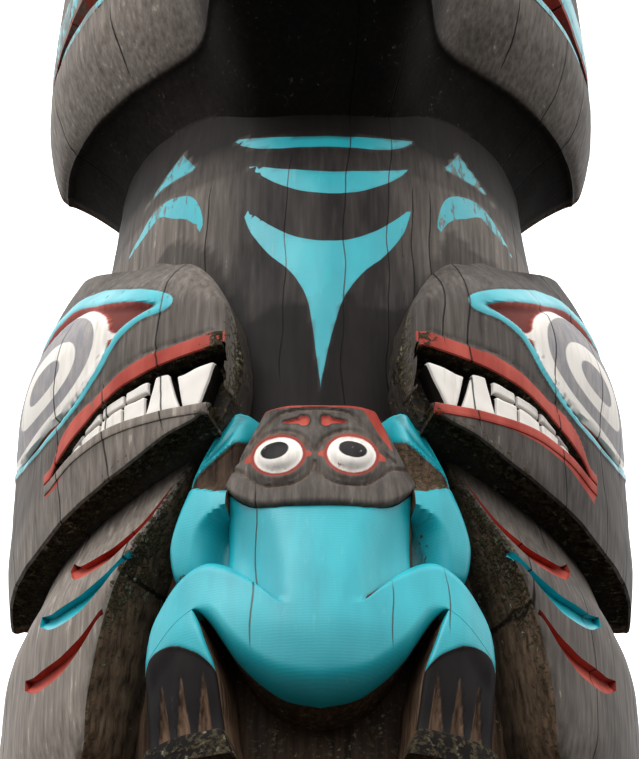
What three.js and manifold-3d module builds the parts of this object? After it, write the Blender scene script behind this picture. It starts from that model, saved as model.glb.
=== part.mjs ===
// A carved and painted cedar totem pole: a beast's head with an open, toothed mouth over a dark chest,
// two toothed heads in profile with a finned body under each, and a frog between them on a low base.
// The whole pole is carved from one log whose back is hewn flat, so it is one solid.
// Units are millimetres, +Z is up, and the front faces -Y. The origin is the log's heart, on the ground.
// A carver's template is wrapped round the log: s runs along it from the front centre line towards +X,
// and every form is laid out in (s, z) and given a radius from the log's heart.
import * as THREE from 'three';
import { mergeVertices } from 'three/addons/utils/BufferGeometryUtils.js';
import Module from 'manifold-3d';

const wasm = await Module();
wasm.setup();

// The log
const templateRadius = 500;
const logRadius = 510;
const backDepth = 30;
const groundRadius = 395;

// Levels
const baseHeight = 320;
const mouthLine = 905;
const neckLevel = 1830;
const throatLevel = 1755;
const jawLevel = 1920;
const jawHeight = 190;
const lipHeight = 36;
const mouthRise = 150;
const upperFaceHeight = 644;
const earRise = 95;

// Radii of the main forms
const chestRadius = 388;
const neckRadius = 366;
const cheekRadius = logRadius + 5;
const snoutHalfWidth = 202;
const snoutReach = 690;
const earMiddle = 385;
const earHalfWidth = 88;
const earHollow = 40;

// The heads in profile
const sideHeadRadius = logRadius - 2;
const sideHeadFront = 138;
const sideHeadBack = 800;
const mouthDepth = 34;
const toothRise = 20;

// The fins
const finRadius = logRadius - 2;
const slashDepth = 12;
const finFront = 232;

// The frog
const bellyRadius = logRadius - 4;
const throatHalf = 160;
const frogEyeRadius = 43;
const frogEyeRise = 20;
const frogEyeSpread = 62;
const frogEyeLevel = 942;
const toeLevel = 455;
const soleLevel = 402;

// Hidden faces inside the log, the lift of a cutting body clear of what it cuts, and a narrow step
const rootRadius = 330;
const cutClear = 60;
const ledge = 3;

// Number helpers
const clamp = (x, low = 0, high = 1) => Math.min(high, Math.max(low, x));
const mix = (a, b, t) => a + (b - a) * t;
const ease = (x, from, to) => {
  const t = clamp((x - from) / (to - from));
  return t * t * (3 - 2 * t);
};
const spread = (from, to, steps) => Array.from({ length: steps + 1 }, (_, i) => mix(from, to, i / steps));

// A smooth curve through a few (x, y) points, flat past its ends.
function through(points) {
  return x => {
    if (x <= points[0][0]) return points[0][1];
    const last = points.length - 1;
    if (x >= points[last][0]) return points[last][1];
    const i = points.findIndex(p => p[0] > x) - 1;
    const slope = k => {
      if (k === 0) return (points[1][1] - points[0][1]) / (points[1][0] - points[0][0]);
      if (k === last) return (points[last][1] - points[last - 1][1]) / (points[last][0] - points[last - 1][0]);
      return (points[k + 1][1] - points[k - 1][1]) / (points[k + 1][0] - points[k - 1][0]);
    };
    const [x0, y0] = points[i];
    const [x1, y1] = points[i + 1];
    const w = x1 - x0;
    const t = (x - x0) / w;
    const bend = t * t * (3 - 2 * t);
    return y0 + (y1 - y0) * bend + w * (slope(i) * t * (1 - t) ** 2 - slope(i + 1) * t * t * (1 - t));
  };
}

// How far a rounded edge falls back at a distance from it.
const rounding = (distance, radius) => {
  if (radius <= 0) return 0;
  const t = clamp(1 - distance / radius);
  return radius * (1 - Math.sqrt(1 - t * t * 0.98));
};

// A radius cut off by the flat back.
function flatBack(angle, radius) {
  const behind = -Math.cos(angle);
  return behind > 0 ? Math.min(radius, backDepth / behind) : radius;
}

const onLog = (angle, radius, z) => [radius * Math.sin(angle), -radius * Math.cos(angle), z];

// Vertices and faces
function solid(points, triangles) {
  const geometry = new THREE.BufferGeometry();
  geometry.setAttribute('position', new THREE.BufferAttribute(new Float32Array(points.flat()), 3));
  geometry.setIndex(triangles.flat());
  const merged = mergeVertices(geometry, 0.001);
  const kept = [];
  const index = merged.index.array;
  for (let i = 0; i < index.length; i += 3) {
    const [a, b, c] = [index[i], index[i + 1], index[i + 2]];
    if (a !== b && b !== c && c !== a) kept.push(a, b, c);
  }
  return new wasm.Manifold(new wasm.Mesh({
    numProp: 3,
    vertProperties: new Float32Array(merged.attributes.position.array),
    triVerts: new Uint32Array(kept),
  }));
}

// A closed block under a relief surface: cells[i][j] is the template point of column i and row j,
// surface(s, z) its radius, and root(s, z) the radius of its inner face.
function relief(cells, surface, root = () => rootRadius) {
  const columns = cells.length;
  const rows = cells[0].length;
  const points = [];
  for (const deep of [false, true])
    for (const column of cells)
      for (const [s, z] of column)
        points.push(onLog(s / templateRadius, deep ? root(s, z) : Math.max(surface(s, z), root(s, z) + 1), z));
  const outer = (i, j) => i * rows + j;
  const inner = (i, j) => (columns + i) * rows + j;
  const triangles = [];
  const quad = (a, b, c, d) => triangles.push([a, b, c], [a, c, d]);
  for (let i = 0; i < columns - 1; i++)
    for (let j = 0; j < rows - 1; j++) {
      quad(outer(i, j), outer(i + 1, j), outer(i + 1, j + 1), outer(i, j + 1));
      quad(inner(i, j), inner(i, j + 1), inner(i + 1, j + 1), inner(i + 1, j));
    }
  for (let i = 0; i < columns - 1; i++) {
    quad(outer(i, 0), inner(i, 0), inner(i + 1, 0), outer(i + 1, 0));
    quad(outer(i + 1, rows - 1), inner(i + 1, rows - 1), inner(i, rows - 1), outer(i, rows - 1));
  }
  for (let j = 0; j < rows - 1; j++) {
    quad(outer(0, j), outer(0, j + 1), inner(0, j + 1), inner(0, j));
    quad(outer(columns - 1, j + 1), outer(columns - 1, j), inner(columns - 1, j), inner(columns - 1, j + 1));
  }
  return solid(points, triangles);
}

// Cells between a low and a high outline, column by column. side is -1 or 1.
function betweenLevels(side, columns, low, high, shares) {
  const placed = columns.map(s => shares.map(v => [side * s, mix(low(s), high(s), v)]));
  return side < 0 ? placed.reverse() : placed;
}

// Cells between an inner and an outer outline, row by row.
function betweenSides(side, rows, near, far, shares) {
  const placed = shares.map(u => rows.map(z => [side * mix(near(z), far(z), u), z]));
  return side < 0 ? placed.reverse() : placed;
}

// A closed loft round the log: each level gives a radius and a height for an angle.
function rings(angles, levels) {
  const count = angles.length;
  const points = [];
  for (const level of levels)
    for (const angle of angles) {
      const { radius, z } = level(Math.abs(angle));
      points.push(onLog(angle, flatBack(angle, radius), z));
    }
  const triangles = [];
  for (let j = 0; j < levels.length - 1; j++)
    for (let i = 0; i < count; i++) {
      const n = (i + 1) % count;
      const [a, b, c, d] = [j * count + i, j * count + n, (j + 1) * count + n, (j + 1) * count + i];
      triangles.push([a, b, c], [a, c, d]);
    }
  const bottom = points.length;
  const top = bottom + 1;
  points.push([0, 0, levels[0](0).z], [0, 0, levels[levels.length - 1](0).z]);
  for (let i = 0; i < count; i++) {
    const n = (i + 1) % count;
    triangles.push([bottom, n, i], [top, (levels.length - 1) * count + i, (levels.length - 1) * count + n]);
  }
  return solid(points, triangles);
}

const degrees = THREE.MathUtils.degToRad;
const backCorner = Math.PI - Math.acos(backDepth / logRadius);

// Angles round the log, closer together over the front.
function anglesRound(frontSteps) {
  const front = spread(0, Math.PI / 2, frontSteps);
  const half = [...front, backCorner, degrees(112), degrees(140)];
  return [...half.slice(1).reverse().map(a => -a), ...half, Math.PI];
}

// The trunk: the base, the ground behind the figures, and the chest.
function trunk() {
  const level = (z, radius) => () => ({ z, radius });
  const neck = z => angle => ({ z, radius: mix(neckRadius, chestRadius, ease(neckLevel - z, -60, 260)) + 8 * ease(Math.cos(angle), 0.2, 1) });
  return rings(anglesRound(12), [
    level(0, logRadius - 6),
    level(12, logRadius),
    level(baseHeight - 14, logRadius),
    level(baseHeight, logRadius - 12),
    level(baseHeight + ledge, groundRadius),
    level(700, groundRadius - 6),
    level(1000, groundRadius),
    level(1300, groundRadius + 4),
    level(1450, groundRadius),
    neck(1560),
    neck(1640),
    neck(1720),
    neck(1790),
    neck(1850),
    neck(1950),
  ]);
}

// The plan of the upper head: round cheeks flowing into a square-ended snout. A lower crispness rounds
// the corner between them.
function headPlan(angle, cheek, halfWidth, reach, crispness = 11) {
  const sine = Math.max(Math.abs(Math.sin(angle)), 1e-6);
  const cosine = Math.cos(angle);
  if (cosine <= 0.05) return cheek;
  const snout = ((sine / halfWidth) ** 6 + (cosine / reach) ** 6) ** (-1 / 6);
  return (cheek ** crispness + snout ** crispness) ** (1 / crispness);
}

// The upper head: throat, jaw, open mouth, snout, eyes' field, brow and crown.
function upperHead() {
  const jawEdge = through([[0, 440], [degrees(36), 438], [degrees(50), 444], [degrees(65), 455], [degrees(90), 474]]);
  const throatTop = angle => mix(throatLevel, neckLevel + 16, ease(angle, 0, degrees(80)));
  const jawFoot = angle => jawLevel + 20 * ease(angle, degrees(50), degrees(92));
  const jawTop = jawLevel + jawHeight;
  const lipTop = jawTop + lipHeight;
  const mouthTop = angle => lipTop + 4 + mouthRise * (1 - ease(angle, degrees(36), degrees(74)));
  const under = share => angle => {
    const from = neckRadius - 10;
    const to = headPlan(angle, jawEdge(angle), snoutHalfWidth - 4, snoutReach - 20);
    return { radius: mix(from, to, share), z: mix(throatTop(angle), jawFoot(angle), 1 - (1 - share) ** 1.3) };
  };
  const jaw = (rise, flare) => angle => ({
    radius: mix(headPlan(angle, jawEdge(angle), snoutHalfWidth - 4, snoutReach - 20),
      headPlan(angle, cheekRadius, snoutHalfWidth + 4, snoutReach), flare),
    z: jawLevel + rise,
  });
  const lip = (z, inset) => angle => ({ radius: headPlan(angle, cheekRadius, snoutHalfWidth + 4, snoutReach) - inset, z });
  const overMouth = (rise, inset, reach = snoutReach + 20) => angle => ({
    radius: headPlan(angle, cheekRadius, snoutHalfWidth + 6, reach) - inset,
    z: mouthTop(angle) + rise,
  });
  const face = (share, inset, halfWidth, nose) => angle => ({
    radius: headPlan(angle, cheekRadius - inset, snoutHalfWidth * halfWidth, snoutReach + nose, mix(11, 6, ease(share, 0.3, 0.6))),
    z: lipTop + upperFaceHeight * share,
  });
  return rings(anglesRound(19), [
    under(0), under(0.25), under(0.55), under(0.85), under(1),
    jaw(40, 0.35), jaw(90, 0.7), jaw(140, 0.92), jaw(jawHeight, 1),
    lip(jawTop + ledge, 7), lip(lipTop, 6),
    lip(lipTop + ledge, 30),
    overMouth(-2, 30), overMouth(2, 2), overMouth(26, 0), overMouth(60, 0),
    face(0.39, 9, 0.99, 10), face(0.47, 13, 0.92, -30), face(0.58, 15, 0.78, -100),
    face(0.67, 11, 0.68, -160), face(0.71, 3, 0.62, -170), face(0.75, 15, 0.52, -190),
    face(0.86, 29, 0.5, -210), face(0.95, 65, 0.5, -250), face(1, 135, 0.5, -330),
  ]);
}

// The outline and surface of a head in profile, on |s|.
const sideHeadLow = through([[138, 1130], [146, 1082], [165, 1036], [190, 1014], [245, 996], [300, 974], [365, 957],
  [435, 945], [525, 932], [600, 934], [650, 943], [700, 950], [800, 955]]);
const sideHeadHigh = through([[138, 1175], [148, 1240], [165, 1290], [195, 1345], [235, 1392], [290, 1430],
  [323, 1458], [360, 1482], [440, 1516], [520, 1551], [620, 1592], [800, 1640]]);

function sideHeadSurface(s, z) {
  const a = Math.abs(s);
  const high = sideHeadHigh(a);
  const crest = mix(1330, 1400, ease(a, 300, 700));
  const fall = clamp((z - crest + 90) / (high - crest + 90));
  const slope = mix(42, 98, ease(a, 180, 420)) - 30 * ease(a, 430, 620);
  const bulge = 11 * ease(z, 900, 1040) * (1 - ease(z, 1300, 1450));
  return sideHeadRadius + bulge - slope * fall ** 2.1
    - rounding(z - sideHeadLow(a), 5) - rounding(a - sideHeadFront, 34);
}

// The mouth's upper and lower edges.
const mouthHigh = through([[150, 1160], [200, 1154], [250, 1150], [300, 1144], [350, 1132], [400, 1108], [445, 1084],
  [472, 1060], [488, 1041]]);
const mouthLow = through([[150, 1032], [190, 1038], [240, 1045], [292, 1051], [346, 1057], [397, 1056], [447, 1049],
  [488, 1037]]);
const mouthFront = 160;
const mouthBack = 486;

function sideHead(side) {
  const columns = [sideHeadFront, 147, 163, 195, 240, 290, 340, 390, 440, 490, 540, 600, 670, 740, sideHeadBack];
  const shares = [0, 0.03, 0.12, 0.26, 0.4, 0.54, 0.68, 0.8, 0.91, 1];
  let head = relief(betweenLevels(side, columns, sideHeadLow, sideHeadHigh, shares), sideHeadSurface);
  const mouthColumns = spread(mouthFront, mouthBack, 8);
  const cut = relief(
    betweenLevels(side, mouthColumns, mouthLow, mouthHigh, [0, 1]),
    () => sideHeadRadius + cutClear,
    () => sideHeadRadius - mouthDepth,
  );
  head = head.subtract(cut);
  const lipRoot = () => sideHeadRadius - 60;
  const band = (from, to, columnsOfBand, low, high, rise, cells) =>
    relief(betweenLevels(side, spread(from, to, columnsOfBand), low, high, cells),
      (s, z) => sideHeadSurface(s, clamp(z, 920, 1300)) + rise, lipRoot);
  const upperLip = band(144, 508, 8, s => mouthHigh(s) - 1, s => mouthHigh(s) + 27, 6, [0, 1]);
  const lowerLip = band(165, 505, 8, s => mouthLow(s) - 19, s => mouthLow(s) + 1, 5, [0, 1]);
  return [head, upperLip, lowerLip, ...teeth(side), ...eyeField(side)];
}

// Teeth: two tall ones in front, then an upper and a lower row.
function teeth(side) {
  const gap = 7;
  const block = (from, to, low, high) => relief(
    betweenLevels(side, [from + gap / 2, mix(from, to, 0.5), to - gap / 2], low, high, [0, 1]),
    s => sideHeadRadius - mouthDepth + toothRise - 5 * Math.abs(2 * (Math.abs(s) - from) / (to - from) - 1),
    () => sideHeadRadius - 60,
  );
  const middle = s => mix(mouthLow(s), mouthHigh(s), 0.5);
  const made = [
    block(164, 217, s => mouthLow(s) - 1, s => mouthHigh(s) + 1),
    block(217, 272, s => mouthLow(s) - 1, s => mouthHigh(s) - 6),
  ];
  const starts = spread(272, 470, 4);
  for (let i = 0; i < starts.length - 1; i++) {
    made.push(block(starts[i], starts[i + 1], s => middle(s) + gap / 2, s => mouthHigh(s) - 6));
    made.push(block(starts[i], starts[i + 1], s => mouthLow(s) - 1, s => middle(s) - gap / 2));
  }
  return made;
}

// An oval boss on the template: rings of cells shrink to its middle.
function boss(side, s0, z0, halfS, halfZ, tilt, power, surface, sides = 14, steps = 3) {
  const points = [];
  const at = (share, k) => {
    const t = (2 * Math.PI * k) / sides;
    const c = Math.sign(Math.cos(t)) * Math.abs(Math.cos(t)) ** (2 / power);
    const d = Math.sign(Math.sin(t)) * Math.abs(Math.sin(t)) ** (2 / power);
    const [ds, dz] = [halfS * c * share, halfZ * d * share];
    return [side * (s0 + ds * Math.cos(tilt) - dz * Math.sin(tilt)), z0 + ds * Math.sin(tilt) + dz * Math.cos(tilt)];
  };
  for (let k = 0; k < sides; k++) {
    const [s, z] = at(1, k);
    points.push(onLog(s / templateRadius, rootRadius, z));
  }
  for (let ring = 0; ring < steps; ring++)
    for (let k = 0; k < sides; k++) {
      const share = Math.cos((ring / steps) * (Math.PI / 2));
      const [s, z] = at(share, k);
      points.push(onLog(s / templateRadius, surface(s, z, share), z));
    }
  const deep = points.length;
  points.push(onLog((side * s0) / templateRadius, rootRadius, z0));
  points.push(onLog((side * s0) / templateRadius, surface(side * s0, z0, 0), z0));
  const triangles = [];
  const add = (a, b, c) => triangles.push(side > 0 ? [a, b, c] : [a, c, b]);
  for (let k = 0; k < sides; k++) {
    const n = (k + 1) % sides;
    for (let ring = 0; ring < steps; ring++) {
      const [a, b, c, d] = [ring * sides + k, ring * sides + n, (ring + 1) * sides + n, (ring + 1) * sides + k];
      add(a, b, c);
      add(a, c, d);
    }
    add(steps * sides + k, steps * sides + n, deep + 1);
    add(deep, n, k);
  }
  return solid(points, triangles);
}

// The eye of a head in profile: a long tilted ovoid with a raised ring, under a brow.
function eyeField(side) {
  const rise = (extra, crown) => (s, z, share) => sideHeadSurface(s, z) + extra + crown * (1 - share * share);
  return [boss(side, 548, 1252, 188, 92, degrees(4), 2.6, rise(5, 12), 16, 3)];
}

// The body with a fin under each head, on |s|.
const finNear = through([[470, 424], [512, 394], [579, 381], [643, 367], [728, 346], [800, 320], [879, 288], [966, 247],
  [1010, finFront]]);
const finFar = () => sideHeadBack;

function finSurface(s, z) {
  const a = Math.abs(s);
  return through([[470, 484], [560, 504], [690, finRadius], [790, 503], [890, 470], [1000, 440]])(z)
    - rounding(a - finNear(z), 9) - rounding(z - 462, 30);
}

function fin(side) {
  const rows = [470, 478, 500, 530, 560, 600, 640, 690, 740, 790, 840, 890, 950, 1010];
  const shares = [0, 0.03, 0.2, 0.36, 0.52, 0.68, 0.84, 1];
  let body = relief(betweenSides(side, rows, finNear, finFar, shares), finSurface);
  for (const [s, z, length, drop] of finSlashes) {
    const columns = [0, 0.08, 0.2, 0.4, 0.6, 0.8, 1].map(t => s + length * t);
    const mid = x => z - drop * slashBend((x - s) / length);
    const half = x => slashHalf((x - s) / length);
    body = body.subtract(relief(
      betweenLevels(side, columns, x => mid(x) - half(x), x => mid(x) + half(x), [0, 1]),
      (x, z) => finSurface(x, z) + cutClear,
      (x, z) => finSurface(x, z) - slashDepth,
    ));
  }
  return body;
}

// Each slash: where it starts on the template, its height there, its length and how deep its bow hangs; then
// the bow's shape and half width along its length.
const finSlashes = [[262, 950, 216, 120], [301, 832, 214, 78], [340, 730, 210, 72]];
const slashBend = through([[0, 0], [0.15, 0.5], [0.3, 0.82], [0.5, 1], [0.8, 0.92], [1, 0.6]]);
const slashHalf = through([[0, 2], [0.15, 8], [0.4, 16], [0.75, 17], [1, 9]]);

// The frog's body on |s|: its lower edge, and the line over the thighs where the throat sinks behind them.
const bodyLow = through([[0, 500], [57, 512], [98, 540], [128, 574], [147, 605], [171, 645], [189, 657], [279, 586]]);
const thighLine = through([[0, 652], [57, 652], [90, 688], [121, 723], [152, 747], [181, 754], [214, 737], [242, 708],
  [263, 670], [274, 625], [279, 596]]);
const bodyProfile = through([[500, 484], [530, 496], [570, 503], [620, bellyRadius], [700, 500], [800, 490], [890, 482]]);

function thighSurface(s, z) {
  const a = Math.abs(s);
  return bodyProfile(z) + 6 * ease(a, 60, 160) - 14 * ease(a, 200, 279)
    - rounding(z - bodyLow(a), 38 * (1 - ease(a, 150, 189)))
    - rounding(thighLine(a) - z, mix(2, 40, ease(a, 50, 150)))
    - rounding(282 - a, 26);
}

function throatSurface(s, z) {
  const a = Math.abs(s);
  const sunk = 30 * ease(a, 40, 120) * (1 - ease(z - thighLine(a), 30, 190));
  return bodyProfile(z) - sunk - 12 * (a / throatHalf) ** 4 - rounding(throatHalf + 2 - a, 20);
}

function frogBody() {
  const out = [0, 30, 57, 80, 105, 130, 150, throatHalf, 182, 206, 230, 252, 268, 279];
  const columns = [...out.slice(1).reverse().map(s => -s), ...out];
  const thigh = [0, 0.08, 0.2, 0.4, 0.62, 0.82, 0.94, 1];
  const throat = [0.05, 0.35, 0.7, 1];
  const cells = columns.map(s => {
    const a = Math.abs(s);
    const line = thighLine(a);
    const top = a > throatHalf ? line + 8 : mouthLine;
    return [...thigh.map(v => [s, mix(bodyLow(a), line, v)]), ...throat.map(v => [s, mix(line, top, v)])];
  });
  return relief(cells, (s, z) => {
    const a = Math.abs(s);
    if (z <= thighLine(a) + 1e-6) return thighSurface(s, z);
    return a > throatHalf ? rootRadius + 2 : throatSurface(s, z);
  });
}

// The frog's shins and feet, standing on a ledge.
const shinNear = through([[soleLevel, 122], [toeLevel, 142], [550, 154], [601, 169], [642, 182], [668, 194]]);
const shinFar = through([[soleLevel, 288], [toeLevel, 282], [560, 281], [600, 280], [640, 270], [668, 262]]);
function shinSurface(s, z) {
  const a = Math.abs(s);
  const front = through([[soleLevel, 504], [toeLevel - 8, 502], [toeLevel, 490], [520, 499], [580, 507], [620, 510], [668, 508]])(z);
  return front - 14 * ease(a, 200, 279) - rounding(a - shinNear(z), 8) - rounding(shinFar(z) + 3 - a, 24);
}

// The arms beside the face, on |s|, with a sloping pocket between elbow and throat.
const armNear = through([[735, 150], [895, 150], [960, 138], [1000, 120], [1072, 92]]);
const armFar = through([[735, 234], [755, 246], [790, 251], [817, 250], [864, 236], [911, 222], [948, 214], [1001, 196], [1053, 170],
  [1072, 140]]);
const pocketFar = through([[753, 214], [807, 206], [840, 189], [862, 150]]);
function armSurface(s, z) {
  const a = Math.abs(s);
  const front = through([[735, 468], [790, 480], [860, 484], [920, 476], [1000, 462], [1072, 448]])(z);
  return front - 50 * ease(pocketFar(z) - a, 0, 40) - rounding(armFar(z) - a, 16) - rounding(z - 733, 22);
}

// The frog's face on |s|: a curved mouth edge below and slanting sides.
const faceLow = a => 838 + 62 * Math.max(0, (a - 60) / 97) ** 2.4;
const faceHigh = through([[0, 1068], [96, 1066], [108, 1036], [122, 1000], [134, 965], [147, 928], [157, 905]]);
const faceProfile = through([[834, 496], [880, 491], [960, 474], [1068, 446]]);
function faceSurface(s, z) {
  const a = Math.abs(s);
  return faceProfile(z) - 12 * (a / 150) ** 2 - rounding(z - faceLow(a), 10) - rounding(faceHigh(a) + 1 - z, 8);
}

function frog() {
  const out = [0, 32, 64, 90, 112, 128, 142, 151, 157];
  const columns = [...out.slice(1).reverse().map(s => -s), ...out];
  const face = relief(
    columns.map(s => [0, 0.05, 0.2, 0.4, 0.6, 0.8, 0.95, 1].map(v => [s, mix(faceLow(Math.abs(s)), faceHigh(Math.abs(s)), v)])),
    faceSurface,
  );
  const made = [frogBody(), face];
  for (const side of [-1, 1]) {
    made.push(relief(
      betweenSides(side, [soleLevel, toeLevel - 8, toeLevel, 500, 550, 600, 640, 668], shinNear, shinFar,
        [0, 0.06, 0.3, 0.6, 0.82, 0.94, 1]),
      (s, z) => Math.min(shinSurface(s, z), z > 640 ? thighSurface(s, z) - 0.8 : logRadius),
    ));
    made.push(relief(
      betweenSides(side, [735, 748, 775, 807, 840, 870, 905, 950, 1000, 1040, 1072], armNear, armFar, [0, 0.2, 0.4, 0.6, 0.8, 0.93, 1]),
      armSurface,
    ));
    made.push(boss(side, frogEyeSpread, frogEyeLevel, frogEyeRadius, frogEyeRadius, 0, 2,
      (s, z, share) => faceSurface(s, z) - 4 + (frogEyeRise + 4) * Math.sqrt(1 - share * share * 0.999), 14, 3));
  }
  return made;
}

// Ears on the crown, hollowed in front.
function ear(side) {
  const crown = jawLevel + jawHeight + lipHeight + upperFaceHeight;
  const top = crown + earRise;
  const foot = crown - 1.6 * earRise;
  const level = share => mix(foot, top, share);
  const half = z => earHalfWidth * Math.sqrt(1 - 0.88 * clamp((z - foot) / (top - foot)) ** 3);
  const front = (s, z) => cheekRadius - 33 - 24 * ease(z, foot, top) - rounding(top + 4 - z, 24);
  const outer = relief(
    betweenSides(side, [0, 0.5, 0.73, 0.9, 1].map(level), z => earMiddle - half(z), z => earMiddle + half(z), spread(0, 1, 4)),
    front,
    () => rootRadius,
  );
  const hollow = relief(
    betweenSides(side, [0.25, 0.6, 0.86].map(level), z => earMiddle - half(z) * 0.6, z => earMiddle + half(z) * 0.6, spread(0, 1, 2)),
    (s, z) => front(s, z) + cutClear,
    (s, z) => front(s, z) - earHollow,
  );
  return outer.subtract(hollow);
}

// The upper head's eyes and ears.
function upperFeatures(side) {
  const eyeLevel = jawLevel + jawHeight + lipHeight + 0.51 * upperFaceHeight;
  const eyeSurface = (s, z, share) => cheekRadius - 7 + 12 * (1 - share * share);
  return [boss(side, 500, eyeLevel, 150, 72, degrees(-6), 2.6, eyeSurface, 16, 2), ear(side)];
}

const parts = [trunk(), upperHead(), ...frog()];
for (const side of [-1, 1]) parts.push(...sideHead(side), fin(side), ...upperFeatures(side));
const joined = parts.reduce((whole, piece) => whole.add(piece)).simplify(0.5);

// Back to a three.js mesh.
const { vertProperties, triVerts } = joined.getMesh();
const geometry = new THREE.BufferGeometry();
geometry.setAttribute('position', new THREE.BufferAttribute(vertProperties, 3));
geometry.setIndex(new THREE.BufferAttribute(triVerts, 1));
geometry.computeVertexNormals();

const paintedCedar = new THREE.MeshStandardMaterial({ color: 0x3a3836, roughness: 0.72, metalness: 0 });
const pole = new THREE.Mesh(geometry, paintedCedar);
pole.name = 'totem_pole';

const part = new THREE.Group();
part.add(pole);
export default part;
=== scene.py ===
# A carved and painted cedar totem pole, worked out from a carver's template that is wrapped round the log.
# s runs along the template from the front centre line and z is the height, both in millimetres.
import math

import bpy
import numpy as np
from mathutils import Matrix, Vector


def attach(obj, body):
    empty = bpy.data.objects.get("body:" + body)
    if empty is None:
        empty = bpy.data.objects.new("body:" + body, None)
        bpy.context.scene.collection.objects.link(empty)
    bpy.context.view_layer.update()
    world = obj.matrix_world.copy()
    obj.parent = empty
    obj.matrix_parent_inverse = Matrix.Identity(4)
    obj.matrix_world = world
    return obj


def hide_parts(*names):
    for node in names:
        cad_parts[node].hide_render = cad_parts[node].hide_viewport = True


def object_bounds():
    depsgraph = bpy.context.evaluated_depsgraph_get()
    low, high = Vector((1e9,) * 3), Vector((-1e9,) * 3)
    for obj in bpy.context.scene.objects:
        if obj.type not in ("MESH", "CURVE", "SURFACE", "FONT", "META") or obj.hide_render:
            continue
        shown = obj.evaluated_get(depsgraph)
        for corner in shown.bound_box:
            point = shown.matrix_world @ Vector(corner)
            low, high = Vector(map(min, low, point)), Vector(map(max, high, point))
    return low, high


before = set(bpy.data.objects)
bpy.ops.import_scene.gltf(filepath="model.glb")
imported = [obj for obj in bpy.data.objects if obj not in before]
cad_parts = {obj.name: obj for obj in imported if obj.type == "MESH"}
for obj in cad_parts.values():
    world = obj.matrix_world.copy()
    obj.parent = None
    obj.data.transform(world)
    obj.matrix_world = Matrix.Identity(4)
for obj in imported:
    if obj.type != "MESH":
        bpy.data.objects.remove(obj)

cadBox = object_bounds()

# Every face is tagged with its form's kind, because each kind is painted in its own way, and with its side
kinds = {name: i for i, name in enumerate((
    "trunk", "upperHead", "ear", "profileHead", "mouth", "upperLip", "lowerLip", "tooth", "fin", "slash",
    "belly", "face", "shin", "arm"))}
carvedFace, wallFace, rootFace = 0, 1, 2
# Depths inside a colour's area that stand for all of a form and for none of it, in mm
everywhere, nowhere = 30.0, -40.0


# Numbers and curves

def ease(x, start, end):  # smooth step from 0 to 1
    t = np.clip((x - start) / (end - start), 0, 1)
    return t * t * (3 - 2 * t)


def mix(a, b, t):  # a at t = 0, b at t = 1, in a straight line between
    return a + (b - a) * t


def through(points):  # a smooth cubic curve through a few (x, y) points, flat past its ends
    xs, ys = np.array(points, float).T
    slope = np.empty_like(ys)
    slope[1:-1] = (ys[2:] - ys[:-2]) / (xs[2:] - xs[:-2])
    slope[0] = (ys[1] - ys[0]) / (xs[1] - xs[0])
    slope[-1] = (ys[-1] - ys[-2]) / (xs[-1] - xs[-2])

    def curve(x):
        x = np.asarray(x, float)
        i = np.clip(np.searchsorted(xs, x, side="right") - 1, 0, len(xs) - 2)
        w = xs[i + 1] - xs[i]
        t = np.clip((x - xs[i]) / w, 0, 1)
        bend = t * t * (3 - 2 * t)
        return (ys[i] + (ys[i + 1] - ys[i]) * bend
                + w * (slope[i] * t * (1 - t) ** 2 - slope[i + 1] * t * t * (1 - t)))
    return curve


def rounding(distance, radius):  # how far a rounded edge falls back at a distance from it
    radius = np.maximum(radius, 1e-6)
    t = np.clip(1 - distance / radius, 0, 1)
    return radius * (1 - np.sqrt(1 - t * t * 0.98))


def crowded(low, high, count, pull=0.6):  # steps that lie closer together near both ends
    t = np.linspace(0, 1, count)
    return mix(low, high, mix(t, 0.5 - 0.5 * np.cos(np.pi * t), pull))


def ovoid(s, z, s0, z0, halfS, halfZ, tilt=0, power=2.4):  # depth inside a tilted oval, in mm
    u = (s - s0) * math.cos(tilt) + (z - z0) * math.sin(tilt)
    v = (z - z0) * math.cos(tilt) - (s - s0) * math.sin(tilt)
    share = ((np.abs(u) / halfS) ** power + (np.abs(v) / halfZ) ** power) ** (1 / power)
    return (1 - share) * min(halfS, halfZ)


def stroke(s, z, points, steps=5):  # depth inside a brush stroke through (s, z, half width) points
    keys = np.array(points, float)
    along = np.arange(len(keys))
    fine = np.linspace(0, len(keys) - 1, (len(keys) - 1) * steps + 1)
    path = np.stack([through(np.stack([along, keys[:, c]], 1))(fine) for c in range(3)], 1)
    best = np.full(np.shape(s), -1e3)
    for (s0, z0, w0), (s1, z1, w1) in zip(path[:-1], path[1:]):
        ds, dz = s1 - s0, z1 - z0
        t = np.clip(((s - s0) * ds + (z - z0) * dz) / (ds * ds + dz * dz), 0, 1)
        best = np.maximum(best, mix(w0, w1, t) - np.hypot(s - s0 - t * ds, z - z0 - t * dz))
    return best


def band(s, z, low, high, start, end):  # depth inside the strip between two curves
    return np.minimum(np.minimum(z - low(s), high(s) - z), np.minimum(s - start, end - s))


def handCarving(s, z):  # the slow waver of an adzed surface, within about a millimetre and a half
    return (0.8 * np.sin(s / 31 + 1.7 * np.sin(z / 67)) * np.sin(z / 43 + 1.3 * np.sin(s / 59))
            + 0.5 * np.sin(s / 13.1 + z / 29) * np.sin(z / 17.3 - s / 41))


# The log and its template

log = {
    "templateRadius": 500, "radius": 510, "backDepth": 30, "groundRadius": 395, "baseHeight": 320,
    "rootRadius": 330, "chestRadius": 388, "neckRadius": 366, "neckLevel": 1830, "cutClear": 60,
}


def onLog(angle, radius, z):  # a point at an angle round the log, in metres
    return np.stack([radius * np.sin(angle), -radius * np.cos(angle), z], -1) / 1000


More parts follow.
